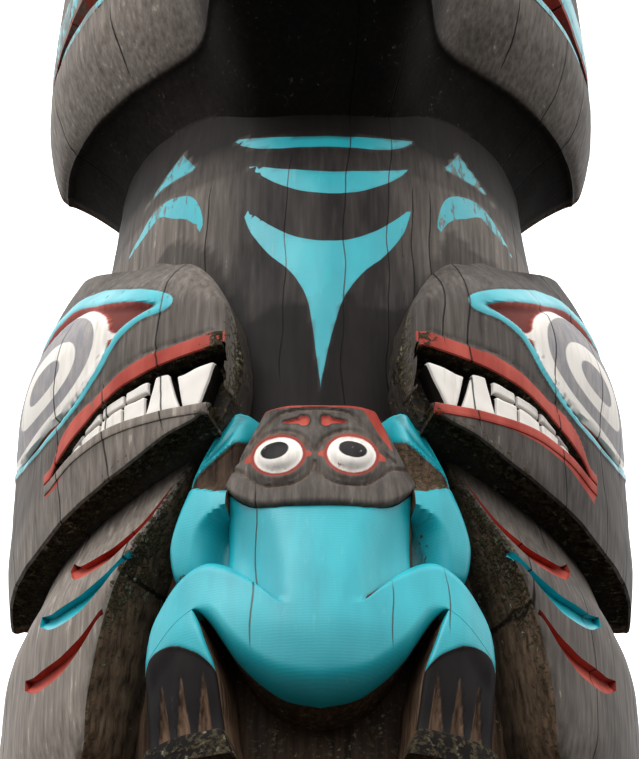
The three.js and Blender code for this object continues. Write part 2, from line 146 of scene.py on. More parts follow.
def newForm(points, faceSets, kind):  # faceSets holds (quads, wall) pairs; the tags ride in a UV map
    mesh = bpy.data.meshes.new("form")
    quads = np.concatenate([quads for quads, wall in faceSets])
    mesh.vertices.add(len(points))
    mesh.vertices.foreach_set("co", points.astype(np.float32).ravel())
    mesh.loops.add(quads.size)
    mesh.loops.foreach_set("vertex_index", quads.astype(np.int32).ravel())
    mesh.polygons.add(len(quads))
    mesh.polygons.foreach_set("loop_start", np.arange(0, quads.size, 4, dtype=np.int32))
    mesh.update(calc_edges=True)
    tags = mesh.uv_layers.new(name="tags")
    wall = np.concatenate([np.full(quads.size, wall) for quads, wall in faceSets])
    pairs = np.stack([np.full(len(wall), kinds[kind]), wall], 1)
    tags.data.foreach_set("uv", pairs.astype(np.float32).ravel())
    form = bpy.data.objects.new("form", mesh)
    bpy.context.scene.collection.objects.link(form)
    return form


def relief(s, z, surface, kind, root=None, wallRows=5, lumps=0.0):
    # A closed block under a relief: the outer grid has radius surface(s, z), the inner one root(s, z),
    # and walls join their edges. Lumps push the walls in and out a little.
    columns, rows = s.shape
    deep = np.full(s.shape, float(log["rootRadius"])) if root is None else root(s, z)
    outer = np.maximum(surface(s, z), deep + 1)
    cell = np.arange(columns * rows).reshape(columns, rows)
    rim = np.concatenate([cell[:, 0], cell[-1, 1:], cell[-2::-1, -1], cell[0, -2:0:-1]])
    following = np.roll(np.arange(len(rim)), -1)
    rimS, rimZ = s.ravel()[rim], z.ravel()[rim]
    alongS, alongZ = np.roll(rimS, -1) - np.roll(rimS, 1), np.roll(rimZ, -1) - np.roll(rimZ, 1)
    length = np.hypot(alongS, alongZ) + 1e-9
    parts = [onLog(s / log["templateRadius"], outer, z).reshape(-1, 3),
             onLog(s / log["templateRadius"], deep, z).reshape(-1, 3)]
    rings = [rim]
    count = 2 * columns * rows
    for k in range(1, wallRows):
        share = k / wallRows
        radius = mix(outer.ravel()[rim], deep.ravel()[rim], share ** 1.6)
        push = lumps * (np.sin(rimS / 9.7 + 3 * k) * np.sin(rimZ / 7.9 + radius / 13)
                        + 0.4 * np.sin(rimS / 4.1 - rimZ / 5.3 + k))
        ringS, ringZ = rimS + push * alongZ / length, rimZ - push * alongS / length
        parts.append(onLog(ringS / log["templateRadius"], radius, ringZ))
        rings.append(count + np.arange(len(rim)))
        count += len(rim)
    rings.append(rim + columns * rows)
    a, b, c, d = cell[:-1, :-1].ravel(), cell[1:, :-1].ravel(), cell[1:, 1:].ravel(), cell[:-1, 1:].ravel()
    front = np.stack([a, b, c, d], 1)
    back = np.stack([a, d, c, b], 1) + columns * rows
    sides = np.concatenate([np.stack([upper, lower, lower[following], upper[following]], 1)
                            for upper, lower in zip(rings[:-1], rings[1:])])
    return newForm(np.concatenate(parts), [(front, carvedFace), (sides, wallFace), (back, rootFace)], kind)


def betweenLevels(side, columns, low, high, shares):  # cells between a low and a high outline
    s = np.repeat(columns[:, None], len(shares), 1)
    z = mix(low(columns)[:, None], high(columns)[:, None], shares[None, :])
    return (s, z) if side > 0 else (-s[::-1], z[::-1])


def betweenSides(side, rows, near, far, shares):  # cells between an inner and an outer outline
    s = mix(near(rows)[None, :], far(rows)[None, :], shares[:, None])
    z = np.repeat(rows[None, :], len(shares), 0)
    return (s, z) if side > 0 else (-s[::-1], z[::-1])


def roundTheLog(frontSteps):  # angles round the log, closer together over the front, with the back's corners
    corner = math.pi - math.acos(log["backDepth"] / log["radius"])
    half = np.concatenate([np.linspace(0, math.pi / 2, frontSteps + 1), [corner],
                           np.radians([100, 112, 126, 140, 160])])
    return np.concatenate([-half[:0:-1], half, [math.pi]])


def loft(angles, radius, z, kind):  # a closed loft: radius and z are (levels, angles) arrays
    behind = -np.cos(angles)
    radius = np.where(behind > 1e-6, np.minimum(radius, log["backDepth"] / np.maximum(behind, 1e-6)), radius)
    levels, count = radius.shape
    points = onLog(angles[None, :], radius, z).reshape(-1, 3)
    cell = np.arange(levels * count).reshape(levels, count)
    after = np.roll(cell, -1, axis=1)
    skin = np.stack([cell[:-1].ravel(), after[:-1].ravel(), after[1:].ravel(), cell[1:].ravel()], 1)
    caps = []
    # Rings that shrink to a small hole, closed by a fan of quads
    for level, flip in ((0, True), (levels - 1, False)):
        hub = len(points)
        points = np.concatenate([points, onLog(np.zeros(1), np.zeros(1), z[level].mean(keepdims=True))])
        ring, half = cell[level], count // 2
        fan = np.stack([ring[0:count:2], ring[1:count:2], np.roll(ring, -2)[0:count:2],
                        np.full(half, hub)], 1)
        caps.append(fan[:, ::-1] if flip else fan)
    return newForm(points, [(skin, carvedFace), (np.concatenate(caps), wallFace)], kind)


def combine(body, others, operation):  # one closed mesh from a body and others, added or cut away
    gathered = bpy.data.collections.new("gathered")
    bpy.context.scene.collection.children.link(gathered)
    for other in others:
        bpy.context.scene.collection.objects.unlink(other)
        gathered.objects.link(other)
    modifier = body.modifiers.new("combine", "BOOLEAN")
    modifier.operation = operation
    modifier.operand_type = "COLLECTION"
    modifier.collection = gathered
    modifier.solver = "MANIFOLD"
    mesh = bpy.data.meshes.new_from_object(body.evaluated_get(bpy.context.evaluated_depsgraph_get()))
    for used in [body, *others]:
        old = used.data
        bpy.data.objects.remove(used)
        bpy.data.meshes.remove(old)
    bpy.data.collections.remove(gathered)
    result = bpy.data.objects.new("form", mesh)
    bpy.context.scene.collection.objects.link(result)
    return result


# The photograph's eye point, in millimetres. The outlines below were measured as if they lay on a plain
# round log, so a raised or sunk surface looks them up where the photograph's line of sight crosses that log.
eyePoint = (0, -3884, -1767)


def seenOnLog(s, z, r, plainRadius):
    angle = s / log["templateRadius"]
    sine, cosine = np.sin(angle), np.cos(angle)
    sight = np.stack([r * sine - eyePoint[0], -r * cosine - eyePoint[1], z - eyePoint[2]])
    sight = sight / np.linalg.norm(sight, axis=0)
    inward = np.maximum(-(sight[0] * sine - sight[1] * cosine), 0.4)
    along = sight[0] * cosine + sight[1] * sine
    back = (plainRadius - r) / inward
    return s - along * back, z - sight[2] * back


# The trunk: the base, the ground behind the figures, and the chest

def makeTrunk():  # rings of angles round the log: a plain base, then a radius that is a curve of the height
    angles = roundTheLog(46)
    angles = np.where(np.abs(angles) < math.pi / 2,
                      np.sign(angles) * math.pi / 2 * (np.abs(angles) * 2 / math.pi) ** 1.2, angles)
    radii = through([(0, log["radius"] - 6), (12, log["radius"]), (log["baseHeight"] - 14, log["radius"]),
                     (log["baseHeight"], log["radius"] - 12)])
    base = np.concatenate([[0, 4, 12], np.linspace(40, 280, 8), [306, 312, 317, 320]])
    ground = np.concatenate([[log["baseHeight"] + 3], np.linspace(360, 1080, 16), np.linspace(1092, 1860, 60),
                             [1900, 1950]])
    lowRadius = np.interp(ground, [323, 700, 1000, 1300, 1450],
                          log["groundRadius"] + np.array([0, -6, 0, 4, 0]))
    chest = mix(log["neckRadius"], log["chestRadius"], ease(log["neckLevel"] - ground, -60, 260))
    front = 8 * ease(np.cos(angles), 0.2, 1)
    blend = ease(ground, 1450, 1560)[:, None]
    upper = mix(lowRadius[:, None], chest[:, None] + front[None, :], blend)
    radius = np.concatenate([np.repeat(radii(base)[:, None], len(angles), 1), upper])
    z = np.repeat(np.concatenate([base, ground])[:, None], len(angles), 1)
    s = angles[None, :] * log["templateRadius"]
    radius[3:] += handCarving(np.repeat(s, len(z) - 3, 0), z[3:]) * (np.abs(z[3:] - log["baseHeight"]) > 20)
    return loft(angles, radius, z, "trunk")


# The upper head

upperHead = {
    "throatLevel": 1755, "jawLevel": 1920, "jawHeight": 190, "lipHeight": 36, "mouthRise": 150,
    "faceHeight": 644, "cheek": 515, "snoutHalfWidth": 202, "snoutReach": 690, "eyeS": 500, "earMiddle": 385,
    "earHalfWidth": 88, "earRise": 95, "earHollow": 40, "eyeHalf": (150, 72),
}
jawTop = upperHead["jawLevel"] + upperHead["jawHeight"]
lipTop = jawTop + upperHead["lipHeight"]
crown = lipTop + upperHead["faceHeight"]
upperEyeLevel = lipTop + 0.51 * upperHead["faceHeight"]


def headPlan(angle, cheek, halfWidth, reach, crispness=11):  # round cheeks flowing into a square-ended snout
    sine = np.maximum(np.abs(np.sin(angle)), 1e-6)
    cosine = np.maximum(np.cos(angle), 1e-3)
    snout = ((sine / halfWidth) ** 6 + (cosine / reach) ** 6) ** (-1 / 6)
    joined = (cheek ** crispness + snout ** crispness) ** (1 / crispness)
    return np.where(np.cos(angle) <= 0.05, cheek, joined)


def mouthTop(angle):  # the upper edge of the big mouth
    return lipTop + 4 + upperHead["mouthRise"] * (1 - ease(np.abs(angle), math.radians(36), math.radians(74)))


def smoothLevels(keys, steps):  # rings between key rings, each key being (radii, heights) round the log
    keys = np.array(keys)
    slope = np.gradient(keys, axis=0)
    t = np.linspace(0, len(keys) - 1, (len(keys) - 1) * steps + 1)
    i = np.minimum(t.astype(int), len(keys) - 2)
    u = (t - i)[:, None, None]
    return (keys[i] * (1 + 2 * u) * (1 - u) ** 2 + keys[i + 1] * u * u * (3 - 2 * u)
            + slope[i] * u * (1 - u) ** 2 - slope[i + 1] * u * u * (1 - u))


def upperEye(a, z, moveS, moveZ, halfS, halfZ, power):  # depth inside one oval of the upper head's eye
    return ovoid(a, z, upperHead["eyeS"] + moveS, upperEyeLevel + moveZ, halfS, halfZ, math.radians(-6),
                 power)


def makeUpperHead():  # rings round the log, each a plan radius and a height, smoothed between key rings
    h = upperHead
    angles = roundTheLog(58)
    a = np.abs(angles)
    ones = np.ones_like(a)
    jawEdge = through([(0, 440), (math.radians(36), 438), (math.radians(50), 444), (math.radians(65), 455),
                       (math.radians(90), 474)])(a)
    throatTop = mix(h["throatLevel"], log["neckLevel"] + 16, ease(a, 0, math.radians(80)))
    jawFoot = h["jawLevel"] + 20 * ease(a, math.radians(50), math.radians(92))
    edgePlan = headPlan(a, jawEdge, h["snoutHalfWidth"] - 4, h["snoutReach"] - 20)
    wide = headPlan(a, h["cheek"] * ones, h["snoutHalfWidth"] + 4, h["snoutReach"])

    def under(share):
        return mix(log["neckRadius"] - 10, edgePlan, share), mix(throatTop, jawFoot, 1 - (1 - share) ** 1.3)

    def jaw(rise, flare):
        return mix(edgePlan, wide, flare), np.maximum(jawFoot + 3, h["jawLevel"] + rise)

    def overMouth(rise, inset):
        radius = headPlan(a, h["cheek"] * ones, h["snoutHalfWidth"] + 6, h["snoutReach"] + 20)
        return radius - inset, mouthTop(a) + rise

    def face(share, inset, halfWidth, nose):
        crispness = mix(11, 6, ease(share, 0.3, 0.6))
        radius = headPlan(a, (h["cheek"] - inset) * ones, h["snoutHalfWidth"] * halfWidth,
                          h["snoutReach"] + nose, crispness)
        return radius, ones * (lipTop + h["faceHeight"] * share)

    sections = [
        ([under(0), under(0.25), under(0.55), under(0.85), under(1)], 4),
        ([jaw(3, 0.03), jaw(40, 0.35), jaw(90, 0.7), jaw(140, 0.92), jaw(h["jawHeight"], 1)], 3),
        ([(wide - 8, ones * (jawTop + 3)), (wide - 5, ones * (jawTop + 12)), (wide - 6, ones * lipTop)], 3),
        ([(wide - 30, ones * (lipTop + 3)), overMouth(-2, 30)], 6),
        ([overMouth(2, 2), overMouth(26, 0), overMouth(60, 0), face(0.39, 9, 0.99, 10),
          face(0.47, 13, 0.92, -30), face(0.58, 15, 0.78, -100), face(0.67, 11, 0.68, -160)], 5),
        ([face(0.70, 3, 0.63, -168), face(0.725, 2, 0.58, -178), face(0.75, 13, 0.52, -190)], 2),
        ([face(0.76, 15, 0.52, -190), face(0.86, 29, 0.5, -210), face(0.95, 65, 0.5, -250),
          face(1, 135, 0.5, -330)], 4),
    ]
    rings = np.concatenate([smoothLevels(keys, steps) for keys, steps in sections])
    radius, z = rings[:, 0], rings[:, 1]
    s = np.repeat(angles[None, :] * log["templateRadius"], len(z), 0)
    eye = upperEye(np.abs(s), z, 0, 0, *h["eyeHalf"], 2.6)
    radius += 4 * ease(eye, -2, 5) + 12 * ease(eye, 0, h["eyeHalf"][1]) * (eye > -2)
    radius += handCarving(s, z) * (np.abs(angles)[None, :] < 1.6)
    return loft(angles, radius, z, "upperHead")


def makeEar(side):  # a block whose half width narrows toward its top, less a narrower block, its hollow
    h = upperHead
    top, foot = crown + h["earRise"], crown - 1.6 * h["earRise"]

    def half(z):
        return h["earHalfWidth"] * np.sqrt(1 - 0.88 * np.clip((z - foot) / (top - foot), 0, 1) ** 3)

    def front(s, z):
        return h["cheek"] - 33 - 24 * ease(z, foot, top) - rounding(top + 4 - z, 24)

    def sides(share):
        return lambda z: h["earMiddle"] - half(z) * share, lambda z: h["earMiddle"] + half(z) * share

    outer = relief(*betweenSides(side, crowded(foot, top, 24), *sides(1), crowded(0, 1, 16)), front, "ear")
    cells = betweenSides(side, np.linspace(mix(foot, top, 0.25), mix(foot, top, 0.86), 12), *sides(0.6),
                         crowded(0, 1, 10))
    hollow = relief(*cells, lambda s, z: front(s, z) + log["cutClear"], "ear",
                    lambda s, z: front(s, z) - h["earHollow"])
    return combine(outer, [hollow], "DIFFERENCE")


# The two heads in profile

profileHead = {
    "radius": 508, "front": 138, "back": 800, "mouthFront": 149, "mouthBack": 486, "mouthDepth": 34,
    "toothDepth": 6, "eye": (549, 1277, 176, 108, math.radians(5)), "grey": (572, 1292, 166, 98),
    "ring": (552, 1282, 102, 61), "ringInside": (542, 1278, 52, 30), "insetRoot": 448,
    "measuredRadius": 513,  # the plain log on which the photograph's outlines were measured
}
headLow = through([(138, 1130), (146, 1082), (165, 1036), (190, 1014), (245, 996), (300, 974), (365, 957),
                   (435, 945), (525, 932), (600, 934), (650, 943), (700, 950), (800, 955)])
headHigh = through([(138, 1175), (148, 1240), (165, 1290), (195, 1345), (235, 1392), (290, 1430), (323, 1458),
                    (360, 1482), (440, 1516), (520, 1551), (620, 1592), (800, 1640)])
mouthHigh = through([(150, 1160), (200, 1154), (250, 1150), (300, 1144), (350, 1132), (400, 1108),
                     (445, 1084), (472, 1060), (488, 1041)])
mouthLow = through([(150, 1032), (190, 1038), (240, 1045), (292, 1051), (346, 1057), (397, 1056), (447, 1049),
                    (488, 1037)])
browLoop = [(800, 1398, 8), (700, 1412, 8), (600, 1413, 8), (505, 1404, 8), (450, 1389, 9), (396, 1361, 11),
            (323, 1326, 12), (264, 1290, 12), (254, 1272, 12), (300, 1271, 11), (340, 1259, 12),
            (368, 1236, 13), (398, 1200, 13), (440, 1167, 13), (493, 1150, 12), (570, 1154, 11),
            (650, 1180, 10), (720, 1222, 9), (800, 1270, 8)]
lipGroove = [(170, 1188, 3), (227, 1184, 3), (282, 1186, 3), (343, 1175, 3), (388, 1155, 3), (434, 1147, 3),
             (478, 1120, 2), (502, 1080, 1)]


def browField(a, z):  # depth inside the hollow between the brow loop's branches
    high = through([(262, 1280), (326, 1314), (389, 1346), (443, 1378), (498, 1396), (600, 1406),
                    (800, 1396)])
    low = through([(262, 1276), (300, 1272), (340, 1262), (368, 1240), (395, 1203), (435, 1170), (490, 1150),
                   (570, 1152), (650, 1178), (720, 1222), (800, 1270)])
    return band(a, z, low, high, 262, 830)


def plainHead(a, z):  # the round head before carving: a radius that falls back toward the crest and the edges
    high = headHigh(a)
    crest = mix(1330, 1400, ease(a, 300, 700))
    fall = np.clip((z - crest + 90) / (high - crest + 90), 0, 1)
    slope = mix(42, 98, ease(a, 180, 420)) - 30 * ease(a, 430, 620)
    bulge = 11 * ease(z, 900, 1040) * (1 - ease(z, 1300, 1450))
    return (profileHead["radius"] + bulge - slope * fall ** 2.1
            - rounding(z - headLow(a), 5) - rounding(a - profileHead["front"], 34))


def seenOnHead(a, z):  # where the photograph shows this point of a profile head, on the plain log
    plain = plainHead(a, z)
    s1, z1 = seenOnLog(a, z, plain, profileHead["measuredRadius"])
    eye = ovoid(s1, z1, *profileHead["eye"], 2.5)
    return seenOnLog(a, z, plain + 7 * ease(eye, -20, 20), profileHead["measuredRadius"])


def profileSurface(s, z):  # the round head, plus or minus a step at each carved outline
    a = np.abs(s)
    s1, z1 = seenOnHead(a, z)
    eye = ovoid(s1, z1, *profileHead["eye"], 2.5)
    hollow = browField(s1, z1)
    loop = stroke(s1, z1, browLoop, 3)
    return (plainHead(a, z) - 10 * ease(hollow, -2, 14) + 2.5 * ease(loop, -4, 3)
            - 2.5 * ease(stroke(s1, z1, lipGroove, 3), -3, 3) + 10 * ease(hollow, -2, 14) * ease(eye, -8, 7)
            + 4 * ease(eye, -6, 9) + 9 * ease(eye, 4, 95) + handCarving(a, z) * (1 - 0.6 * ease(eye, 0, 12)))


def insetRoot(s, z):  # the radius on which the teeth and lips stand, inside the head
    return np.full(s.shape, float(profileHead["insetRoot"]))


def makeTooth(side, fromS, toS, low, high, rise=0.0, tipFrom=None, tipTo=None):
    # A tooth between two levels, from one side to the other, whose top may be narrower than its foot
    h, gap = profileHead, 2.2  # mm left dark on either side of a tooth
    tipFrom, tipTo = tipFrom or fromS, tipTo or toS
    across, up = crowded(0, 1, 14, 0.9)[:, None], crowded(0, 1, 13, 0.9)[None, :]
    left = mix(fromS, tipFrom, up) + gap
    right = mix(toS, tipTo, up) - gap
    s = mix(left, right, across)
    z = mix(low(s), high(s), up)
    flank = np.minimum(s - left, right - s)
    top = np.minimum(z - low(s), high(s) - z)
    crownRadius = (plainHead(s, z) - h["toothDepth"] + rise + 1.2 * handCarving(s * 2, z * 2)
                   - rounding(flank, 4) - rounding(top, 4))
    crownRadius = np.where(np.minimum(flank, top) < 0.01, crownRadius - 3, crownRadius)
    if side < 0:
        s, z, crownRadius = -s[::-1], z[::-1], crownRadius[::-1]
    return relief(s, z, lambda s, z: crownRadius, "tooth", insetRoot, 2)


def makeTeeth(side):
    # Two fangs at the front, then two rows of short teeth that meet along the upper row's foot
    upperEdge = through([(150, 1124), (182, 1120), (226, 1111), (244, 1124), (277, 1124), (334, 1119),
                         (378, 1112), (419, 1096), (460, 1074)])
    upperFoot = through([(270, 1098), (323, 1097), (365, 1091), (407, 1081), (440, 1069), (470, 1055)])

    def lowEdge(s):
        return mouthLow(s) + 1

    def highEdge(s):
        return np.minimum(upperEdge(s), mouthHigh(s) - 11)

    foot = (186, 217) if side < 0 else (196, 214)
    made = [makeTooth(side, *foot, lowEdge, highEdge, 1, 162, 229),
            makeTooth(side, 217, 284, lowEdge, highEdge, 0, 240, 268)]
    for start, end in ((277, 325), (325, 373), (373, 413), (413, 446)):
        made.append(makeTooth(side, start, end, lambda s: upperFoot(s) + 3, highEdge, -1))
    for start, end in ((282, 327), (327, 374), (374, 420), (420, 466)):
        made.append(makeTooth(side, start, end, lowEdge, lambda s: upperFoot(s) - 3, 0))
    return made


def makeProfileHead(side):  # the head less its mouth, with the lips and the teeth set into the opening
    h = profileHead
    columns = np.concatenate([crowded(h["front"], 200, 18, 0.5)[:-1], np.linspace(200, 740, 104),
                              np.linspace(750, h["back"], 6)])
    shares = np.concatenate([[0, 0.006, 0.015, 0.03], np.linspace(0.045, 0.985, 78), [1]])
    head = relief(*betweenLevels(side, columns, headLow, headHigh, shares), profileSurface, "profileHead",
                  wallRows=9, lumps=1.6)
    opening = betweenLevels(side, np.linspace(h["mouthFront"], h["mouthBack"], 60), mouthLow, mouthHigh,
                            np.linspace(0, 1, 14))
    cut = relief(*opening, lambda s, z: np.full(s.shape, h["radius"] + log["cutClear"]), "mouth",
                 lambda s, z: h["radius"] - h["mouthDepth"] + handCarving(s * 2, z * 2), 8, 0.8)
    head = combine(head, [cut], "DIFFERENCE")

    def lip(start, end, low, high, rise, kind):
        def surface(s, z):
            a = np.abs(s)
            edge = np.minimum(z - low(a), high(a) - z)
            return profileSurface(s, np.clip(z, 920, 1300)) + rise - rounding(edge, 3)
        cells = betweenLevels(side, np.linspace(start, end, 76), low, high, crowded(0, 1, 9, 0.8))
        return relief(*cells, surface, kind, insetRoot, 4)

    upper = lip(152, 508, lambda s: mouthHigh(s) - 10 * (1 - ease(s, 440, 480)), lambda s: mouthHigh(s) + 21,
                2.2, "upperLip")
    lower = lip(172, 505, lambda s: mouthLow(s) - 19, lambda s: mouthLow(s) + 1, 2.2, "lowerLip")
    return [head, upper, lower, *makeTeeth(side)]


# The finned bodies under the heads

fin = {
    "radius": 508, "slashDepth": 12, "far": 800,
    "slashes": [(262, 950, 216, 120, "red"), (301, 832, 214, 78, "turquoise"), (340, 730, 210, 72, "red")],
}
slashBend = through([(0, 0), (0.15, 0.5), (0.3, 0.82), (0.5, 1), (0.8, 0.92), (1, 0.6)])
slashHalf = through([(0, 2), (0.15, 8), (0.4, 16), (0.75, 17), (1, 9)])
finNear = through([(470, 424), (512, 394), (579, 381), (643, 367), (728, 346), (800, 320), (879, 288),
                   (966, 247), (1010, 232)])


def finSurface(s, z):  # a radius that is a curve of the height, rounded at the front and the lower edge
    a = np.abs(s)
    return (through([(470, 484), (560, 504), (690, fin["radius"]), (790, 503), (890, 470), (1000, 440)])(z)
            - rounding(a - finNear(z), 9) - rounding(z - 462, 30) + handCarving(a + 300, z))


def slashEdges(a, slash):  # a slash's middle line and half width along the template
    start, level, length, drop, colour = slash
    share = (a - start) / length
    return level - drop * slashBend(share), slashHalf(share)


def slashHollow(s, z, slash):  # 1 along the middle of a slash, shallower toward its lower edge
    mid, half = slashEdges(np.abs(s), slash)
    return mix(1, 0.35, ease(mid - z, -0.6 * half, half))


def makeFin(side):  # the leaf-shaped body less its three slashes
    rows = np.concatenate([crowded(470, 500, 6)[:-1], np.linspace(500, 1010, 60)])
    shares = np.concatenate([[0, 0.006, 0.014, 0.024], np.linspace(0.04, 1, 52)])
    body = relief(*betweenSides(side, rows, finNear, lambda z: np.full(np.shape(z), float(fin["far"])),
                                shares), finSurface, "fin", wallRows=9, lumps=2.2)
    cuts = []
    for slash in fin["slashes"]:
        start = max(slash[0], float(finNear(slash[1])) + 6)
        columns = start + (slash[0] + slash[2] - start) * np.linspace(0, 1, 44) ** 1.2
        cuts.append(relief(
            *betweenLevels(side, columns, lambda a: slashEdges(a, slash)[0] - slashEdges(a, slash)[1],
                           lambda a: slashEdges(a, slash)[0] + slashEdges(a, slash)[1], np.linspace(0, 1, 7)),
            lambda s, z: finSurface(s, z) + log["cutClear"], "slash",
            lambda s, z: finSurface(s, z) - fin["slashDepth"] * slashHollow(s, z, slash), 4, 0.4))
    return combine(body, cuts, "DIFFERENCE")


# The frog

frog = {
    "bellyRadius": 506, "throatHalf": 160, "mouthLine": 905, "toeLevel": 455, "soleLevel": 402,
    "toeGapHeight": 98, "toeGapHalf": 12, "kneeEnd": 279, "eyeS": 59, "middle": -9, "eyeLevel": 947,
    "eyeHalf": (40, 36), "eyeRise": 19,
    "measuredRadius": 474,  # the plain log on which the photograph's outlines were measured
}
bodyLow = through([(0, 500), (57, 512), (98, 540), (128, 574), (147, 605), (171, 645), (189, 657),
                   (279, 586)])
thighLine = through([(0, 652), (57, 652), (90, 688), (121, 723), (152, 747), (181, 754), (214, 737),
                     (242, 708), (263, 670), (274, 625), (279, 596)])
bodyProfile = through([(500, 484), (530, 496), (570, 503), (620, frog["bellyRadius"]), (700, 500), (800, 490),
                       (890, 482)])
shinNear = through([(402, 122), (455, 142), (550, 154), (601, 169), (642, 182), (668, 194)])
shinFar = through([(402, 288), (455, 282), (560, 281), (600, 280), (640, 270), (668, 262)])
armNear = through([(735, 150), (895, 150), (960, 138), (1000, 120), (1072, 92)])
armFar = through([(735, 234), (755, 246), (790, 251), (817, 250), (864, 236), (911, 222), (948, 214),
                  (1001, 196), (1053, 170), (1072, 140)])
pocketFar = through([(753, 214), (807, 206), (840, 189), (862, 150)])
faceHigh = through([(0, 1068), (96, 1066), (108, 1036), (122, 1000), (134, 965), (147, 928), (157, 905)])
faceProfile = through([(834, 496), (880, 491), (960, 474), (1068, 446)])
footArch = through([(140, 520), (154, 550), (170, 571), (185, 584), (213, 600), (243, 604), (262, 597),
                    (276, 580), (290, 560)])
toeGaps = (172, 207, 242)


def faceLow(a):  # the face's chin line: flat in the middle, rising toward the corners
    return 838 + 62 * np.maximum((a - 60) / 97, 0) ** 2.4


def thighSurface(s, z):  # the body's profile, rounded where it meets the throat, the ground and the flank
    a = np.abs(s)
    return (bodyProfile(z) + 6 * ease(a, 60, 160) - 14 * ease(a, 200, frog["kneeEnd"])
            - rounding(z - bodyLow(a), 38 * (1 - ease(a, 150, 189)))
            - rounding(thighLine(a) - z, mix(0, 28, ease(a, 50, 150)))
            - rounding(282 - a, 26) + 0.5 * handCarving(s, z))


def throatSurface(s, z):  # the body's profile, sunk beside the thighs and under the face
    a = np.abs(s)
    sunk = 30 * ease(a, 40, 120) * (1 - ease(z - thighLine(a), 30, 190)) + 16 * ease(z - faceLow(a), 3, 12)
    return (bodyProfile(z) - sunk - 12 * (a / frog["throatHalf"]) ** 4
            - rounding(frog["throatHalf"] + 2 - a, 20) + 0.5 * handCarving(s, z))


def makeFrogBody():  # one block on a grid that follows the thigh line, so that the fold stays sharp
    half = frog["throatHalf"]
    out = np.concatenate([np.linspace(0, half - 16, 28), crowded(half - 13, half, 6, 0.4),
                          np.linspace(half + 5, 250, 18), crowded(254, frog["kneeEnd"], 8, 0.7)])
    columns = np.concatenate([-out[:0:-1], out])
    a = np.abs(columns)
    line = thighLine(a)
    top = np.where(a > half, line + 8, frog["mouthLine"])
    thigh = crowded(0, 1, 44, 0.75)
    throat = np.concatenate([[0.03], np.linspace(0.07, 1, 34)])
    z = np.concatenate([mix(bodyLow(a)[:, None], line[:, None], thigh[None, :]),
                        mix(line[:, None], top[:, None], throat[None, :])], 1)
    s = np.repeat(columns[:, None], z.shape[1], 1)

    def surface(s, z):
        below = z <= thighLine(np.abs(s)) + 1e-6
        above = np.where(np.abs(s) > half + 1e-6, log["rootRadius"] + 2, throatSurface(s, z))
        return np.where(below, thighSurface(s, z), above)

    return relief(s, z, surface, "belly", wallRows=5, lumps=0.6)


def toeGap(a, z):  # depth inside the three tall triangles between the toes
    tip = frog["toeLevel"] + frog["toeGapHeight"]
    height = np.clip((tip - z) / frog["toeGapHeight"], 0, 1)
    nearest = np.min([np.abs(a - middle) for middle in toeGaps], axis=0)
    return np.minimum(frog["toeGapHalf"] * height - nearest, np.minimum(z - frog["toeLevel"] + 4, tip - z))


def makeShin(side):  # a curve of the height for the front, less the foot's arch and the gaps between the toes
    front = through([(402, 504), (447, 502), (455, 490), (520, 499), (580, 507), (620, 510), (668, 508)])

    def surface(s, z):
        a = np.abs(s)
        shin = (front(z) - 14 * ease(a, 200, frog["kneeEnd"]) - rounding(a - shinNear(z), 8)
                - rounding(shinFar(z) + 3 - a, 24))
        shin = (shin - 3 * ease(footArch(a) - z, -2, 4) * (z > 450) - 7 * ease(toeGap(a, z), -1, 4)
                + 0.5 * handCarving(s, z))
        covered = ease(z - bodyLow(a), -60, -4) * ease(a, 180, 190)
        return mix(shin, thighSurface(s, z) - 0.4, covered)

    sole, toe = frog["soleLevel"], frog["toeLevel"]
    rows = np.concatenate([np.linspace(sole, toe - 9, 9), np.linspace(toe - 5, toe + 3, 4),
                           np.linspace(toe + 8, 668, 46)])
    return relief(*betweenSides(side, rows, shinNear, shinFar, crowded(0, 1, 40, 0.4)), surface, "shin",
                  wallRows=5, lumps=0.6)


def makeArm(side):
    # A curve of the height for the front, less the pocket under the arm, the leaf and the grooves
    front = through([(735, 468), (790, 480), (860, 484), (920, 476), (1000, 462), (1072, 448)])

    def surface(s, z):
        a = np.abs(s)
        return (front(z) - 50 * ease(pocketFar(z) - a, 0, 40) - rounding(armFar(z) - a, 16)
                - rounding(z - 733, 22) - (7 + 5 * ease(armLeaf(a, z), 4, 30)) * ease(armLeaf(a, z), -2, 3)
                - 2.5 * ease(armGrooves(a, z), -3, 2) + 0.6 * handCarving(s, z))

    rows = np.concatenate([crowded(735, 760, 6, 0.5)[:-1], np.linspace(760, 1072, 54)])
    return relief(*betweenSides(side, rows, armNear, armFar, crowded(0, 1, 26, 0.5)), surface, "arm",
                  wallRows=6, lumps=0.6)


def armLeaf(a, z):  # depth inside the bare triangle carved between the arm and the face
    edge = through([(903, 222), (928, 214), (958, 186), (990, 152), (1014, 130), (1068, 108)])
    low = through([(140, 888), (168, 892), (190, 903), (222, 915)])
    return np.minimum((edge(z) - a) * 0.85, z - low(a))


def armGrooves(a, z):  # depth inside the two long grooves that run down the upper arm
    return np.maximum(stroke(a, z, [(140, 1062, 3), (152, 1020, 3), (176, 985, 3), (205, 950, 2)], 3),
                      stroke(a, z, [(158, 1056, 2), (174, 1016, 3), (196, 972, 2)], 3))


